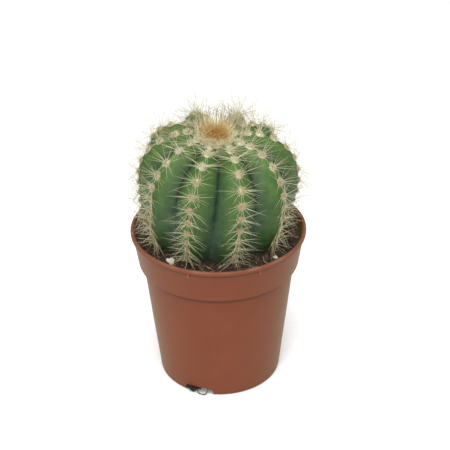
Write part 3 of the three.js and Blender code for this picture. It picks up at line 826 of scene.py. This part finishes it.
def skin(distance, ribs, offset):
    """Points on the ribbed skin in the stem's frame, or off it by an offset."""
    radius, height, along_radius, along_height = crest_at(distance)
    out = offset - valley_sink(radius, height, ribs)
    moved = on_circle(azimuth_at(ribs), radius - along_height * out, height + along_radius * out)
    return moved + crown_shift(radius, height)


def lopsided(points):
    """Points on the globe as it really grew: its flanks to the right, two shoulders lower."""
    x, y, z = points[..., 0], points[..., 1], points[..., 2]
    radius = np.hypot(x, y) + 1e-6
    flank_level = np.where(x > 0, RIGHT_FLANK_LEVEL, LEFT_FLANK_LEVEL)
    flank_spread = np.where(x > 0, RIGHT_FLANK_SPREAD, LEFT_FLANK_SPREAD)
    near_flank = np.exp(-((z - flank_level) / flank_spread) ** 2)
    flank = FLANK_SHIFT * (x / STEM_RADIUS) ** FLANK_POWER * near_flank
    left = LEFT_DROP * np.exp(-((x - LEFT_DROP_X) / LEFT_DROP_SPREAD) ** 2
                              - ((z - LEFT_DROP_LEVEL) / LEFT_DROP_SPREAD) ** 2)
    near_back = np.exp(-((radius - BACK_DROP_RADIUS) / BACK_DROP_SPREAD) ** 2)
    back = BACK_DROP * near_back * np.clip(y / radius, 0, 1)
    return np.stack([x + flank, y, z - left - back], axis=-1)


def turn_to_pot(directions):
    return directions @ np.array(stem_to_pot.to_3x3()).T


def to_pot(points):
    """Points in the stem's frame as points in the pot's."""
    return turn_to_pot(lopsided(points)) + np.array(STEM_BASE)


def soil_height(x, y):
    """The peat's uneven level."""
    broad = np.sin(BROAD_WAVE * x + 1) * np.cos(BROAD_WAVE * y)
    fine = np.sin(FINE_WAVE * (x - y)) * np.cos(FINE_WAVE * (x + y))
    return SOIL_LEVEL + 0.5 * SOIL_BUMP * (broad + fine)


def areole_at(distance, rib, offset):
    """An areole by its distance from the crown, with its place and its directions."""
    along_radius, along_height = crest_at(distance)[2:]
    down = turn_to_pot(on_circle(azimuth_at(rib), along_radius, along_height))
    out = turn_to_pot(on_circle(azimuth_at(rib), -along_height, along_radius))
    return {"distance": distance, "place": to_pot(skin(distance, rib, offset)), "down": down,
            "side": np.cross(out, down), "out": out}


def areoles_of(rib):
    """A rib's areoles, from the crown down to the soil, each in its own notch in the crest."""
    distance = AREOLE_START * AREOLE_GROWTH ** ((AREOLE_PHASE + AREOLE_TURN * rib) % 1)
    areoles = []
    while distance < crest_length:
        x, y, height = to_pot(skin(distance, rib, 0))
        if height < soil_height(x, y) + AREOLE_SOIL_GAP:
            break
        areoles.append(areole_at(distance, rib, -AREOLE_DIP))
        distance += min(AREOLE_SPACING - AREOLE_CROWDING * distance, (AREOLE_GROWTH - 1) * distance)
    return areoles


def gathered(areoles, *keys):
    """What a list of areoles holds under each key, as arrays."""
    return [np.array([areole[key] for areole in areoles]) for key in keys]


rows = [areoles_of(rib) for rib in range(RIB_COUNT)]


# Pot

def rounded_corner(corner, before, after, radius, steps=5):
    """The points of a quarter round that takes a corner's place between its neighbours."""
    corner, before, after = Vector(corner), Vector(before), Vector(after)
    start = corner + (before - corner).normalized() * radius
    end = corner + (after - corner).normalized() * radius
    shares = [step / steps for step in range(steps + 1)]
    return [tuple((1 - s) ** 2 * start + 2 * s * (1 - s) * corner + s ** 2 * end) for s in shares]


def pot_outline():
    """Outside of the pot from its floor round the foot and up to the lip, then its inside."""
    share = (FLOOR_INSIDE - FOOT_ROUND) / (BODY_TOP - FOOT_ROUND)
    inside_foot = FOOT_RADIUS + (BODY_TOP_RADIUS - FOOT_RADIUS) * share - WALL
    corners = [
        ((FLOOR_MIDDLE_RADIUS, FLOOR_HEIGHT), 0),
        ((FOOT_RADIUS - FOOT_WIDTH, FLOOR_HEIGHT), 0),
        ((FOOT_RADIUS - FOOT_WIDTH, 0), 0.3),
        ((FOOT_RADIUS, 0), FOOT_ROUND),
        ((BODY_TOP_RADIUS, BODY_TOP), 0),
        ((BAND_BOTTOM_RADIUS, BAND_BOTTOM), 0.35),
        ((BAND_TOP_RADIUS, LIP_BOTTOM), 0.3),
        ((LIP_RADIUS, LIP_BOTTOM), 0.5),
        ((LIP_RADIUS, POT_HEIGHT), 1.1),
        ((MOUTH_RADIUS, POT_HEIGHT), 0.9),
        ((BAND_BOTTOM_RADIUS - WALL, BAND_BOTTOM + WALL), 0),
        ((BODY_TOP_RADIUS - WALL, BODY_TOP), 0),
        ((inside_foot, FLOOR_INSIDE), 0),
        ((FLOOR_MIDDLE_RADIUS, FLOOR_INSIDE), 0),
    ]
    outline = []
    for index, (corner, radius) in enumerate(corners):
        if radius:
            before, after = corners[index - 1][0], corners[index + 1][0]
            outline += rounded_corner(corner, before, after, radius)
        else:
            outline.append(corner)
    return outline


def turned(name, outline, sides):
    """A body of revolution: a ring, extruded and resized from point to point of its outline."""
    deselect()
    radius, height = outline[0]
    bpy.ops.mesh.primitive_circle_add(vertices=sides, radius=radius * MM,
                                      location=(0, 0, height * MM))
    piece = bpy.context.object
    piece.name = name
    settle(piece)
    edit(piece)
    bpy.ops.mesh.select_all(action="SELECT")
    for (radius, height), (next_radius, next_height) in zip(outline, outline[1:]):
        rise = (next_height - height) * MM
        bpy.ops.mesh.extrude_edges_move(TRANSFORM_OT_translate={"value": (0, 0, rise)})
        growth = next_radius / radius
        bpy.ops.transform.resize(value=(growth, growth, 1),
                                 center_override=(0, 0, next_height * MM))
    bpy.ops.mesh.select_all(action="DESELECT")
    bpy.ops.mesh.select_non_manifold()
    bpy.ops.mesh.fill_holes(sides=0)
    bpy.ops.object.mode_set(mode="OBJECT")
    face_outwards(piece)
    return piece


def outwards_at(azimuth):
    """Turns -Y to point outwards at an azimuth."""
    return Matrix.Rotation(math.radians(azimuth), 4, "Z")


def notch_cutter(azimuth):
    """A block with a round-shouldered top, as wide as a drain notch."""
    piece = block((2 * NOTCH_HALF_WIDTH, NOTCH_OUTER_RADIUS - NOTCH_INNER_RADIUS,
                   NOTCH_HEIGHT + NOTCH_BELOW))
    edit(piece)
    select_edges(piece, lambda one, other: one.z > 0 and other.z > 0 and abs(one.x - other.x) < MM)
    bpy.ops.mesh.bevel(offset=NOTCH_ROUND * MM, segments=6)
    bpy.ops.object.mode_set(mode="OBJECT")
    middle = 0.5 * (NOTCH_OUTER_RADIUS + NOTCH_INNER_RADIUS)
    lift = Matrix.Translation((0, -middle * MM, 0.5 * (NOTCH_HEIGHT - NOTCH_BELOW) * MM))
    piece.matrix_world = outwards_at(azimuth) @ lift
    settle(piece)
    return piece


def stacking_lug(azimuth):
    """A small upright rib under the lip, which keeps stacked pots apart."""
    piece = block(LUG_SIZE)
    edit(piece)
    bpy.ops.mesh.select_all(action="SELECT")
    bpy.ops.mesh.bevel(offset=LUG_ROUND * MM, segments=2)
    bpy.ops.object.mode_set(mode="OBJECT")
    tilt = Matrix.Rotation(math.radians(LUG_TILT), 4, "X")
    place = Matrix.Translation((0, -(BAND_TOP_RADIUS - LUG_SINK) * MM, (LIP_BOTTOM - LUG_DROP) * MM))
    piece.matrix_world = outwards_at(azimuth) @ place @ tilt
    settle(piece)
    # Marks the lug to be painted a lighter tone than the pot.
    add_values(piece.data, "lug_tone", np.ones(len(piece.data.vertices)))
    return piece


def make_pot(material):
    """The pot, with its notches cut and its lugs on."""
    pot = turned("pot_shell", pot_outline(), POT_SIDES)
    cutters = [notch_cutter(azimuth) for azimuth in NOTCH_AZIMUTHS]
    for cutter in cutters:
        cut = pot.modifiers.new("notch", "BOOLEAN")
        cut.operation = "DIFFERENCE"
        cut.object = cutter
    apply_modifiers(pot)
    for cutter in cutters:
        bpy.data.objects.remove(cutter)
    pot = joined("pot_shell", [pot] + [stacking_lug(azimuth) for azimuth in LUG_AZIMUTHS])
    smooth(pot, 35)
    dress(pot, material, "pot_plastic", "pot")


# Stem

def areole_dips(distance, ribs):
    """1 in the middle of each areole, where the crest is notched, and 0 between them."""
    rib = np.round(ribs)
    across = np.radians(azimuth_at(ribs) - azimuth_at(rib)) * crest_at(distance)[0]
    dips = np.zeros_like(distance)
    for index, areoles in enumerate(rows):
        on_rib = np.mod(rib, RIB_COUNT) == index
        for areole in areoles:
            down = distance - areole["distance"]
            dips += on_rib * np.exp(-((down / AREOLE_DIP_LENGTH) ** 2)
                                    - (across / AREOLE_DIP_WIDTH) ** 2)
    return dips


def scar_marks(distance, ribs):
    """1 in the middle of each old brown scar on the skin."""
    marks = np.zeros_like(distance)
    for rib, middle, half_length, half_width in SCARS:
        turn = np.mod(ribs - rib + RIB_COUNT / 2, RIB_COUNT) - RIB_COUNT / 2
        across = np.radians(RIB_PITCH * turn) * crest_at(distance)[0]
        marks += np.exp(-(((distance - middle) / half_length) ** 2) - (across / half_width) ** 2)
    return marks


def make_stem(material):
    """The ribbed globe: a ball whose columns of points follow each crest and each valley."""
    ball_radius = 100
    deselect()
    bpy.ops.mesh.primitive_uv_sphere_add(segments=RIB_COLUMNS * RIB_COUNT, ring_count=STEM_RINGS,
                                         radius=ball_radius * MM)
    stem = bpy.context.object
    stem.name = "stem_globe"
    points = points_of(stem)
    from_top = np.arccos(np.clip(points[:, 2] / ball_radius, -1, 1)) / math.pi
    ribs = np.degrees(np.arctan2(points[:, 0], -points[:, 1])) / RIB_PITCH
    distance = from_top * crest_length
    wander = np.array([noise.noise(Vector(point) * 0.06) for point in points])
    fade = np.clip(distance / 12, 0, 1)
    offset = SKIN_WANDER * wander * fade + SKIN_PROUD - AREOLE_DIP * areole_dips(distance, ribs)
    placed = skin(distance, ribs, offset)
    poles = (from_top < 1e-4) | (from_top > 1 - 1e-4)
    placed[poles, :2] = crown_shift(*crest_at(distance[poles])[:2])[:, :2]
    move_points(stem, to_pot(placed))
    add_values(stem.data, "valley", valley_share(ribs) * np.clip(distance / 25, 0, 1))
    add_values(stem.data, "down", from_top)
    add_values(stem.data, "scar", scar_marks(distance, ribs))
    stem.data.name = "stem_globe"
    face_outwards(stem)
    smooth(stem, 60)
    dress(stem, material, "stem_skin", "cactus_stem")


# Areoles and spines

def directions_at(areole, turns, rises):
    """Directions turned from down the rib and raised from the skin, in degrees."""
    turn = np.radians(turns)[:, None]
    rise = np.radians(rises)[:, None]
    flat = areole["down"] * np.cos(turn) + areole["side"] * np.sin(turn)
    return flat * np.cos(rise) + areole["out"] * np.sin(rise)


def stands_clear(root, tip):
    """Whether a spine keeps off the peat and the pot, and within the plant's reach."""
    points = root + (tip - root) * np.linspace(0.1, 1, 8)[:, None]
    x, y, height = points.T
    over_soil = np.all(height > soil_height(x, y) + SPINE_CLEARANCE)
    off_pot = np.all((np.hypot(x, y) < MOUTH_RADIUS - SPINE_CLEARANCE)
                     | (height > POT_HEIGHT + SPINE_CLEARANCE))
    return over_soil and off_pot and np.hypot(tip[0], tip[1]) < SPINE_REACH and tip[2] < SPINE_TOP


def spines_of(areole):
    """Roots, directions, lengths, radii and tones of an areole's spines, all round and central.

    Young areoles have fewer, longer, golden spines. Those that face the front are combed aside.
    """
    distance = areole["distance"]
    young = max(0.0, 1 - distance / YOUNG_TO)
    old = min(1.0, max(0.0, (distance - OLD_FROM) / OLD_OVER))
    facing = min(1.0, max(0.0, -2.2 * areole["out"][1] + 0.3)) if distance < COMBED_TO else 0
    golden = young * (1 - facing)
    radials = RADIAL_SPINES - int(GOLDEN_FEWER * golden) - int(OLD_FEWER * old)
    centrals = CENTRAL_SPINES if old < 0.5 and golden < 0.4 else CENTRAL_SPINES - 1
    jitter = rng.uniform(-SPINE_JITTER, SPINE_JITTER, radials)
    even = (np.arange(radials) + jitter) * 2 * math.pi / radials
    turns = np.degrees(np.concatenate([even + SIDE_CROWDING * np.sin(2 * even),
                                       rng.uniform(0, 2 * math.pi, centrals)]))
    rises = np.concatenate([rng.uniform(*RADIAL_RISES, radials), rng.uniform(*CENTRAL_RISES, centrals)])
    sideways = np.abs(np.sin(np.radians(turns)))
    chance = rng.uniform(0, 1, len(turns)) ** CHANCE_RARITY
    full = SPINE_LENGTH + SIDE_EXTRA * sideways + YOUNG_EXTRA * young + CHANCE_EXTRA * chance
    full[radials:] += 2 + 3 * young
    turns = turns * (1 - facing) + facing * COMBED_TURN * np.sin(np.radians(turns))
    rises = rises * (1 - facing * young) + golden * 20
    lengths = full * (1 + 0.35 * golden) * (1 - 0.1 * old)
    heads = directions_at(areole, turns, rises)
    roots = areole["place"] + areole["out"] * SPINE_LIFT + unit(heads) * SPINE_SPREAD
    kept = []
    for index in range(len(turns)):
        for shrink in SPINE_SHRINKS:
            if stands_clear(roots[index], roots[index] + heads[index] * lengths[index] * shrink):
                lengths[index] *= shrink
                kept.append(index)
                break
    tones = np.clip(0.05 + 0.6 * golden + rng.uniform(-0.15, 0.3, len(turns)), 0, 1)
    radii = rng.uniform(*SPINE_RADII, len(turns)) * (1 + 0.4 * golden)
    return roots[kept], heads[kept], lengths[kept], radii[kept], tones[kept]


def wool_of(name, areoles, hair, felt):
    """Woolly pads: a felted cushion on the crest with short curled hairs all over it."""
    distance, place, down, side, out = gathered(areoles, "distance", "place", "down", "side", "out")
    size = np.interp(distance, *WOOL_SIZES)
    tone = np.interp(distance, *WOOL_TONES) + rng.uniform(-0.08, 0.08, len(areoles))
    across, along, thick = FELT_SHARES
    cushion = copies(f"{name}_felt", felt, place + out * FELT_SEAT, times(side, across * size),
                     times(down, along * size), times(out, thick * size), 0 * out, {"tone": tone})
    which = np.repeat(np.arange(len(areoles)), WOOL_HAIRS)
    place, down, side, out, size, tone = (part[which] for part in (place, down, side, out, size, tone))
    turn = rng.uniform(0, 2 * math.pi, len(which))[:, None]
    lean = np.sqrt(rng.uniform(0, 1, len(which)))[:, None]
    reach = size[:, None]
    flat = side * np.cos(turn) + down * np.sin(turn)
    heads = unit(flat * lean + out * (1.05 - 0.75 * lean))
    roots = place + out * 0.2 + flat * lean * reach * 0.8 + out * reach * (1 - lean) * 0.4
    lengths = rng.uniform(*HAIR_LENGTHS, len(which)) * np.clip(size / 2.2, 0.5, 1)
    curl = times(unit(rng.normal(size=heads.shape)), 0.5 * lengths)
    tones = np.clip(tone + rng.uniform(-0.1, 0.1, len(which)), 0, 1)
    radii = np.full(len(which), HAIR_RADIUS)
    tufts = strands(f"{name}_hairs", hair, roots, heads, lengths, radii, curl, tones)
    return joined(name, [cushion, tufts])


def make_rows(spine, hair, felt, spine_material, wool_material):
    """The ten rows: spines in one piece and wool in another, for each rib."""
    for index, areoles in enumerate(rows):
        number = f"{index + 1:02d}"
        grown = [spines_of(areole) for areole in areoles]
        roots, heads, lengths, radii, tones = (np.concatenate(column) for column in zip(*grown))
        sag = rng.normal(size=heads.shape) * SPINE_SAG - np.array([0, 0, SPINE_SAG])
        spines = strands(f"spines_{number}", spine, roots, heads, lengths, radii,
                         times(sag, lengths), tones)
        dress(spines, spine_material, "straw_spines", f"areole_row_{number}")
        dress(wool_of(f"wool_{number}", areoles, hair, felt), wool_material, "straw_spines")


# Crown

def make_tuft(bristle, felt, material, centre, east, north, axis):
    """The golden tuft: upright young bristles, longer at the back, over felt in the sunken top."""
    share = np.sqrt((np.arange(CROWN_BRISTLES) + 0.5) / CROWN_BRISTLES)
    scatter = rng.uniform(-12, 12, CROWN_BRISTLES)
    azimuth = np.radians(GOLDEN_ANGLE * np.arange(CROWN_BRISTLES) + scatter)
    flat = times(east, np.cos(azimuth)) + times(north, np.sin(azimuth))
    roots = centre + times(flat, CROWN_RADIUS * share) + times(axis, 1.5 - 1.3 * share ** 2)
    jitter = rng.uniform(-BRISTLE_JITTER, BRISTLE_JITTER, CROWN_BRISTLES)
    lean = np.radians(BRISTLE_LEAN * share + jitter)
    heads = times(flat, np.sin(lean)) + times(axis, np.cos(lean))
    at_back = 0.5 + 0.5 * np.sin(azimuth)
    plain = rng.uniform(*BRISTLE_LENGTHS, CROWN_BRISTLES)
    extra = BACK_BRISTLE_EXTRA * share ** 2 * at_back * rng.uniform(0.2, 1, CROWN_BRISTLES)
    lengths = plain + extra
    sway = times(rng.normal(size=heads.shape) * 0.08, lengths)
    tones = np.clip(1.1 * share ** 2 + rng.uniform(-0.15, 0.15, CROWN_BRISTLES), 0, 1)
    radii = rng.uniform(*BRISTLE_RADII, CROWN_BRISTLES)
    tuft = strands("crown_bristles", bristle, roots, heads, lengths, radii, sway, tones)
    base = copies("crown_felt", felt, centre[None] + axis * 0.2, east[None] * CROWN_FELT_RADIUS,
                  north[None] * CROWN_FELT_RADIUS, axis[None] * CROWN_FELT_HEIGHT, 0 * axis[None],
                  {"tone": np.array([0.3])})
    dress(joined("crown_bristles", [tuft, base]), material, "golden_wool", "crown_tuft")


def make_fan(spine, material, newborn, centre, axis):
    """The spines of the youngest areoles: a fan that leans out, flat in front and long at the back."""
    which = np.repeat(np.arange(len(newborn)), NEWBORN_SPINES)
    places, sides = (part[which] for part in gathered(newborn, "place", "side"))
    aside = times(sides, rng.uniform(-1, 1, len(which)))
    away = unit(places - centre - times(axis, (places - centre) @ axis))
    facing = np.clip(-away[:, 1], 0, 1)
    at_back = np.clip(away[:, 1], 0, 1)
    heads = unit(times(away, rng.uniform(0, 0.5, len(which))) + times(aside, 0.35 + 0.3 * at_back)
                 + times(axis, 1 - 0.6 * facing) + times(away, facing))
    lengths = rng.uniform(*FAN_LENGTHS, len(which)) * (1 - 0.6 * facing) + BACK_FAN_EXTRA * at_back
    radii = rng.uniform(*FAN_RADII, len(which)) + 0.03 * at_back
    sway = times(rng.normal(size=heads.shape) * 0.05, lengths)
    tones = 0.1 * at_back + rng.uniform(0.0, 0.7, len(which))
    fan = strands("crown_spines", spine, places, heads, lengths, radii, sway, tones)
    dress(fan, material, "straw_spines")


def make_crown(spine, hair, felt, material, wool_material, spine_material):
    """The tuft, with cream wool and young spines round it."""
    east, north, axis = turn_to_pot(np.eye(3))
    crown_middle = to_pot(np.array([*CROWN_SHIFT, crest_at(0)[1]]))
    centre = crown_middle - CROWN_FORWARDS * north
    make_tuft(spine, felt, material, centre, east, north, axis)
    newborn = [areole_at(distance, rib + turn, NEWBORN_LIFT)
               for rib in range(RIB_COUNT) for distance, turn in NEWBORN_AREOLES]
    dress(wool_of("crown_wool", newborn, hair, felt), wool_material, "golden_wool")
    make_fan(spine, spine_material, newborn, centre, axis)


# Peat

def clods_at(x, y):
    """How far the peat's clods stand above its level."""
    return sum(height * noise.noise(Vector((x, y, part)) * pitch) for height, pitch, part in CLODS)


def make_peat(crumbs, fibre, peat_material, fibre_material):
    """The peat that fills the pot, with its clods, crumbs and fibres, and the lump in the notch."""
    outline = [(FLOOR_MIDDLE_RADIUS, FLOOR_INSIDE + PEAT_GAP),
               (PEAT_FOOT_RADIUS, FLOOR_INSIDE + PEAT_GAP),
               (BODY_TOP_RADIUS - WALL - PEAT_GAP, BODY_TOP),
               (BAND_BOTTOM_RADIUS - WALL - PEAT_GAP, BAND_BOTTOM + WALL)]
    rings = [*np.arange(PEAT_RADIUS, FINE_RINGS_TO, -RING_PITCH), 24, 16, 8]
    outline += [(radius, SOIL_LEVEL) for radius in rings]
    bed = turned("peat_bed", outline, PEAT_SIDES)
    points = points_of(bed)
    for index, (x, y, z) in enumerate(points):
        if z > SOIL_LEVEL - 1:
            at_wall = max(0, math.hypot(x, y) - WALL_RISE_FROM) * WALL_RISE
            points[index, 2] = soil_height(x, y) + clods_at(x, y) + at_wall
    move_points(bed, points)
    add_values(bed.data, "tone", np.full(len(points), BED_TONE))
    smooth(bed, 60)
    whole = joined("peat_bed", [bed, notch_lump()] + crumb_bits(crumbs))
    dress(whole, peat_material, "peat", "soil")
    dress(fibre_bits(fibre), fibre_material, "peat")


def notch_lump():
    """The lump of wet peat that has worked out of the front drain notch."""
    along, height, outwards = PEAT_LUMP_CENTRE
    lump, points = rough_ball(4, ((0.42, 2.2, (0, 0, 0)), (0.2, 6, (0, 0, 0))))
    points = points * np.array(PEAT_LUMP_HALF) + np.array([along, -outwards, height])
    points[:, 2] = np.clip(points[:, 2], PEAT_LUMP_BOTTOM, PEAT_LUMP_TOP)
    turn = np.array(outwards_at(NOTCH_AZIMUTHS[0]).to_3x3())
    move_points(lump, points @ turn.T)
    add_values(lump.data, "tone", np.full(len(points), 0.1))
    add_values(lump.data, "wet", np.ones(len(points)))
    return lump


def on_soil(count, lowest, highest):
    """Random places on the ring of peat that shows, as x, y and the peat's height."""
    radius = np.sqrt(rng.uniform(lowest ** 2, highest ** 2, count))
    azimuth = rng.uniform(0, 2 * math.pi, count)
    x = radius * np.sin(azimuth)
    y = -radius * np.cos(azimuth)
    clods = np.array([clods_at(*pair) for pair in zip(x, y)])
    return np.stack([x, y, soil_height(x, y) + clods], axis=1)


def crumb_bits(crumbs):
    """Loose crumbs of several sizes and shades."""
    pieces = []
    for index, crumb in enumerate(crumbs):
        places = on_soil(CRUMBS_OF_A_SHAPE, *CRUMB_RING) + np.array([0, 0, 0.15])
        size = 0.35 + 1.3 * rng.uniform(0, 1, CRUMBS_OF_A_SHAPE) ** 2.3
        heads = unit(rng.normal(size=places.shape))
        across, forwards = square_to(heads)
        tone = rng.uniform(0, 1, CRUMBS_OF_A_SHAPE) ** 1.4
        pieces.append(copies(f"crumbs_{index}", crumb, places, times(across, size),
                             times(forwards, 0.8 * size), times(heads, 0.65 * size), 0 * heads,
                             {"tone": tone}))
    return pieces


def fibre_bits(fibre):
    """Fibres that lie over the peat, most of them in front of the globe."""
    places = on_soil(FIBRES, *FIBRE_RING)
    front = on_soil(FRONT_FIBRES, *FRONT_FIBRE_RING)
    front = front[(np.abs(front[:, 0] - FRONT_MIDDLE) < FRONT_HALF) & (front[:, 1] < 0)]
    places = np.concatenate([places, front])
    count = len(places)
    heads = unit(rng.normal(size=places.shape) * np.array([1, 1, 0.22]))
    lengths = rng.uniform(*FIBRE_LENGTHS, count)
    tips = places + times(heads, lengths)
    lengths = np.where(np.hypot(tips[:, 0], tips[:, 1]) > FIBRE_REACH, 1.2, lengths)
    bends = times(rng.normal(size=places.shape) * 0.25, lengths) * np.array([1, 1, 0.4])
    radii = rng.uniform(*FIBRE_RADII, count)
    return strands("peat_fibres", fibre, places + np.array([0, 0, 0.5]), heads, lengths, radii,
                   bends, rng.uniform(0, 1, count))


def make_grain(name, node_name, material, slot, squash, seed):
    """A loose grain of the size and place of its node."""
    low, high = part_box(node_name)
    grain, points = rough_ball(4, ((0.45, 1.8, (seed, 0, 0)), (0.16, 5, (0, seed, 0))))
    grain.name = name
    centre = np.array(low + high) / 2 / MM
    half = np.array(high - low) / 2 / MM * squash
    move_points(grain, points * half + centre)
    smooth(grain, 40)
    dress(grain, material, slot, node_name)


def make_root(material):
    """The thin root that hangs out of the front notch and turns back up."""
    curve = bpy.data.curves.new("root_line", "CURVE")
    curve.dimensions = "3D"
    curve.bevel_depth = ROOT_RADIUS * MM
    curve.bevel_resolution = 3
    curve.use_fill_caps = True
    spline = curve.splines.new("BEZIER")
    spline.bezier_points.add(len(ROOT_PATH) - 1)
    turn = outwards_at(NOTCH_AZIMUTHS[0])
    for point, (along, height, outwards) in zip(spline.bezier_points, ROOT_PATH):
        point.co = turn @ Vector((along * MM, -outwards * MM, height * MM))
        point.handle_left_type = "AUTO"
        point.handle_right_type = "AUTO"
    drawn = bpy.data.objects.new("root_strand", curve)
    bpy.context.scene.collection.objects.link(drawn)
    pick(drawn)
    bpy.ops.object.convert(target="MESH")
    root = bpy.context.object
    smooth(root, 60)
    dress(root, material, "root_skin", "root_loop")


# Camera, light and floor

def place_camera():
    """800 mm away and looking 34 degrees down, as the photograph does."""
    elevation = math.radians(CAMERA_ELEVATION)
    place = Vector((0, -CAMERA_DISTANCE * math.cos(elevation),
                    CAMERA_DISTANCE * math.sin(elevation) + CAMERA_PIVOT_HEIGHT))
    ahead = (Vector(CAMERA_AIM) - place).normalized()
    right = ahead.cross(Vector((0, 0, 1))).normalized()
    up = right.cross(ahead)
    roll = Matrix.Rotation(math.radians(CAMERA_ROLL), 3, "Z")
    turn = Matrix((right, up, -ahead)).transposed() @ roll
    camera = bpy.data.objects.new("camera", bpy.data.cameras.new("camera"))
    camera.data.sensor_width = SENSOR_WIDTH
    camera.data.lens = FOCAL_PIXELS / FRAME_PIXELS * SENSOR_WIDTH
    camera.data.clip_start = 0.01
    camera.matrix_world = Matrix.Translation(place * MM) @ turn.to_4x4()
    bpy.context.scene.collection.objects.link(camera)
    bpy.context.scene.camera = camera


def soft_light(name, place, aim, size, power):
    """A round softbox that is turned to its aim."""
    light = bpy.data.lights.new(name, "AREA")
    light.shape = "DISK"
    light.size = size
    light.energy = power
    lamp = bpy.data.objects.new(name, light)
    lamp.location = place
    lamp.rotation_euler = (Vector(aim) - Vector(place)).to_track_quat("-Z", "Y").to_euler()
    bpy.context.scene.collection.objects.link(lamp)


def light_studio():
    """An even white room, with one softbox overhead and one in front."""
    world = bpy.data.worlds.new("white_studio")
    world.use_nodes = True
    set_inputs(world.node_tree.nodes["Background"], {"Color": (1, 1, 1, 1), "Strength": 0.85})
    bpy.context.scene.world = world
    soft_light("overhead_softbox", (-0.04, -0.65, 1.7), (0, 0, 0.1), 1.2, 26)
    soft_light("front_fill", (-0.25, -1.3, 0.7), (0, 0, 0.08), 0.9, 8)
    bpy.context.scene.view_settings.view_transform = "Standard"


def lay_floor():
    deselect()
    bpy.ops.mesh.primitive_circle_add(vertices=96, radius=3, fill_type="NGON")
    floor = bpy.context.object
    floor.name = "studio_floor"
    floor.data.materials.append(pale_sweep())


place_camera()
light_studio()
lay_floor()

spine_shape = slim_shape(4, 3, (0.9, 1.0, 0.92, 0.75, 0.3))
hair_shape = slim_shape(3, 1, (1.0, 0.7, 0.1))
fibre_shape = slim_shape(3, 3, (0.7, 1.0, 1.0, 0.9, 0.4))
felt_shape = lump_shape(2, 0.25, 2)
crumb_shapes = [lump_shape(seed, 0.9, 1) for seed in (1, 2, 3, 4)]

make_pot(moulded_polypropylene())
make_peat(crumb_shapes, fibre_shape, peat_crumb(), peat_fibre())
make_stem(waxy_skin())
straw = straw_spine()
wool = areole_wool()
make_rows(spine_shape, hair_shape, felt_shape, straw, wool)
make_crown(spine_shape, hair_shape, felt_shape, golden_bristle(), wool, straw)
perlite = expanded_perlite()
bark = bark_chip()
make_grain("perlite_large", "perlite_grain_1", perlite, "perlite", 1.25, 3)
make_grain("perlite_small", "perlite_grain_2", perlite, "perlite", 1.25, 8)
make_grain("bark_chip_left", "bark_bit_1", bark, "bark", 1.0, 14)
make_grain("bark_chip_right", "bark_bit_2", bark, "bark", 1.0, 21)
make_root(root_skin())
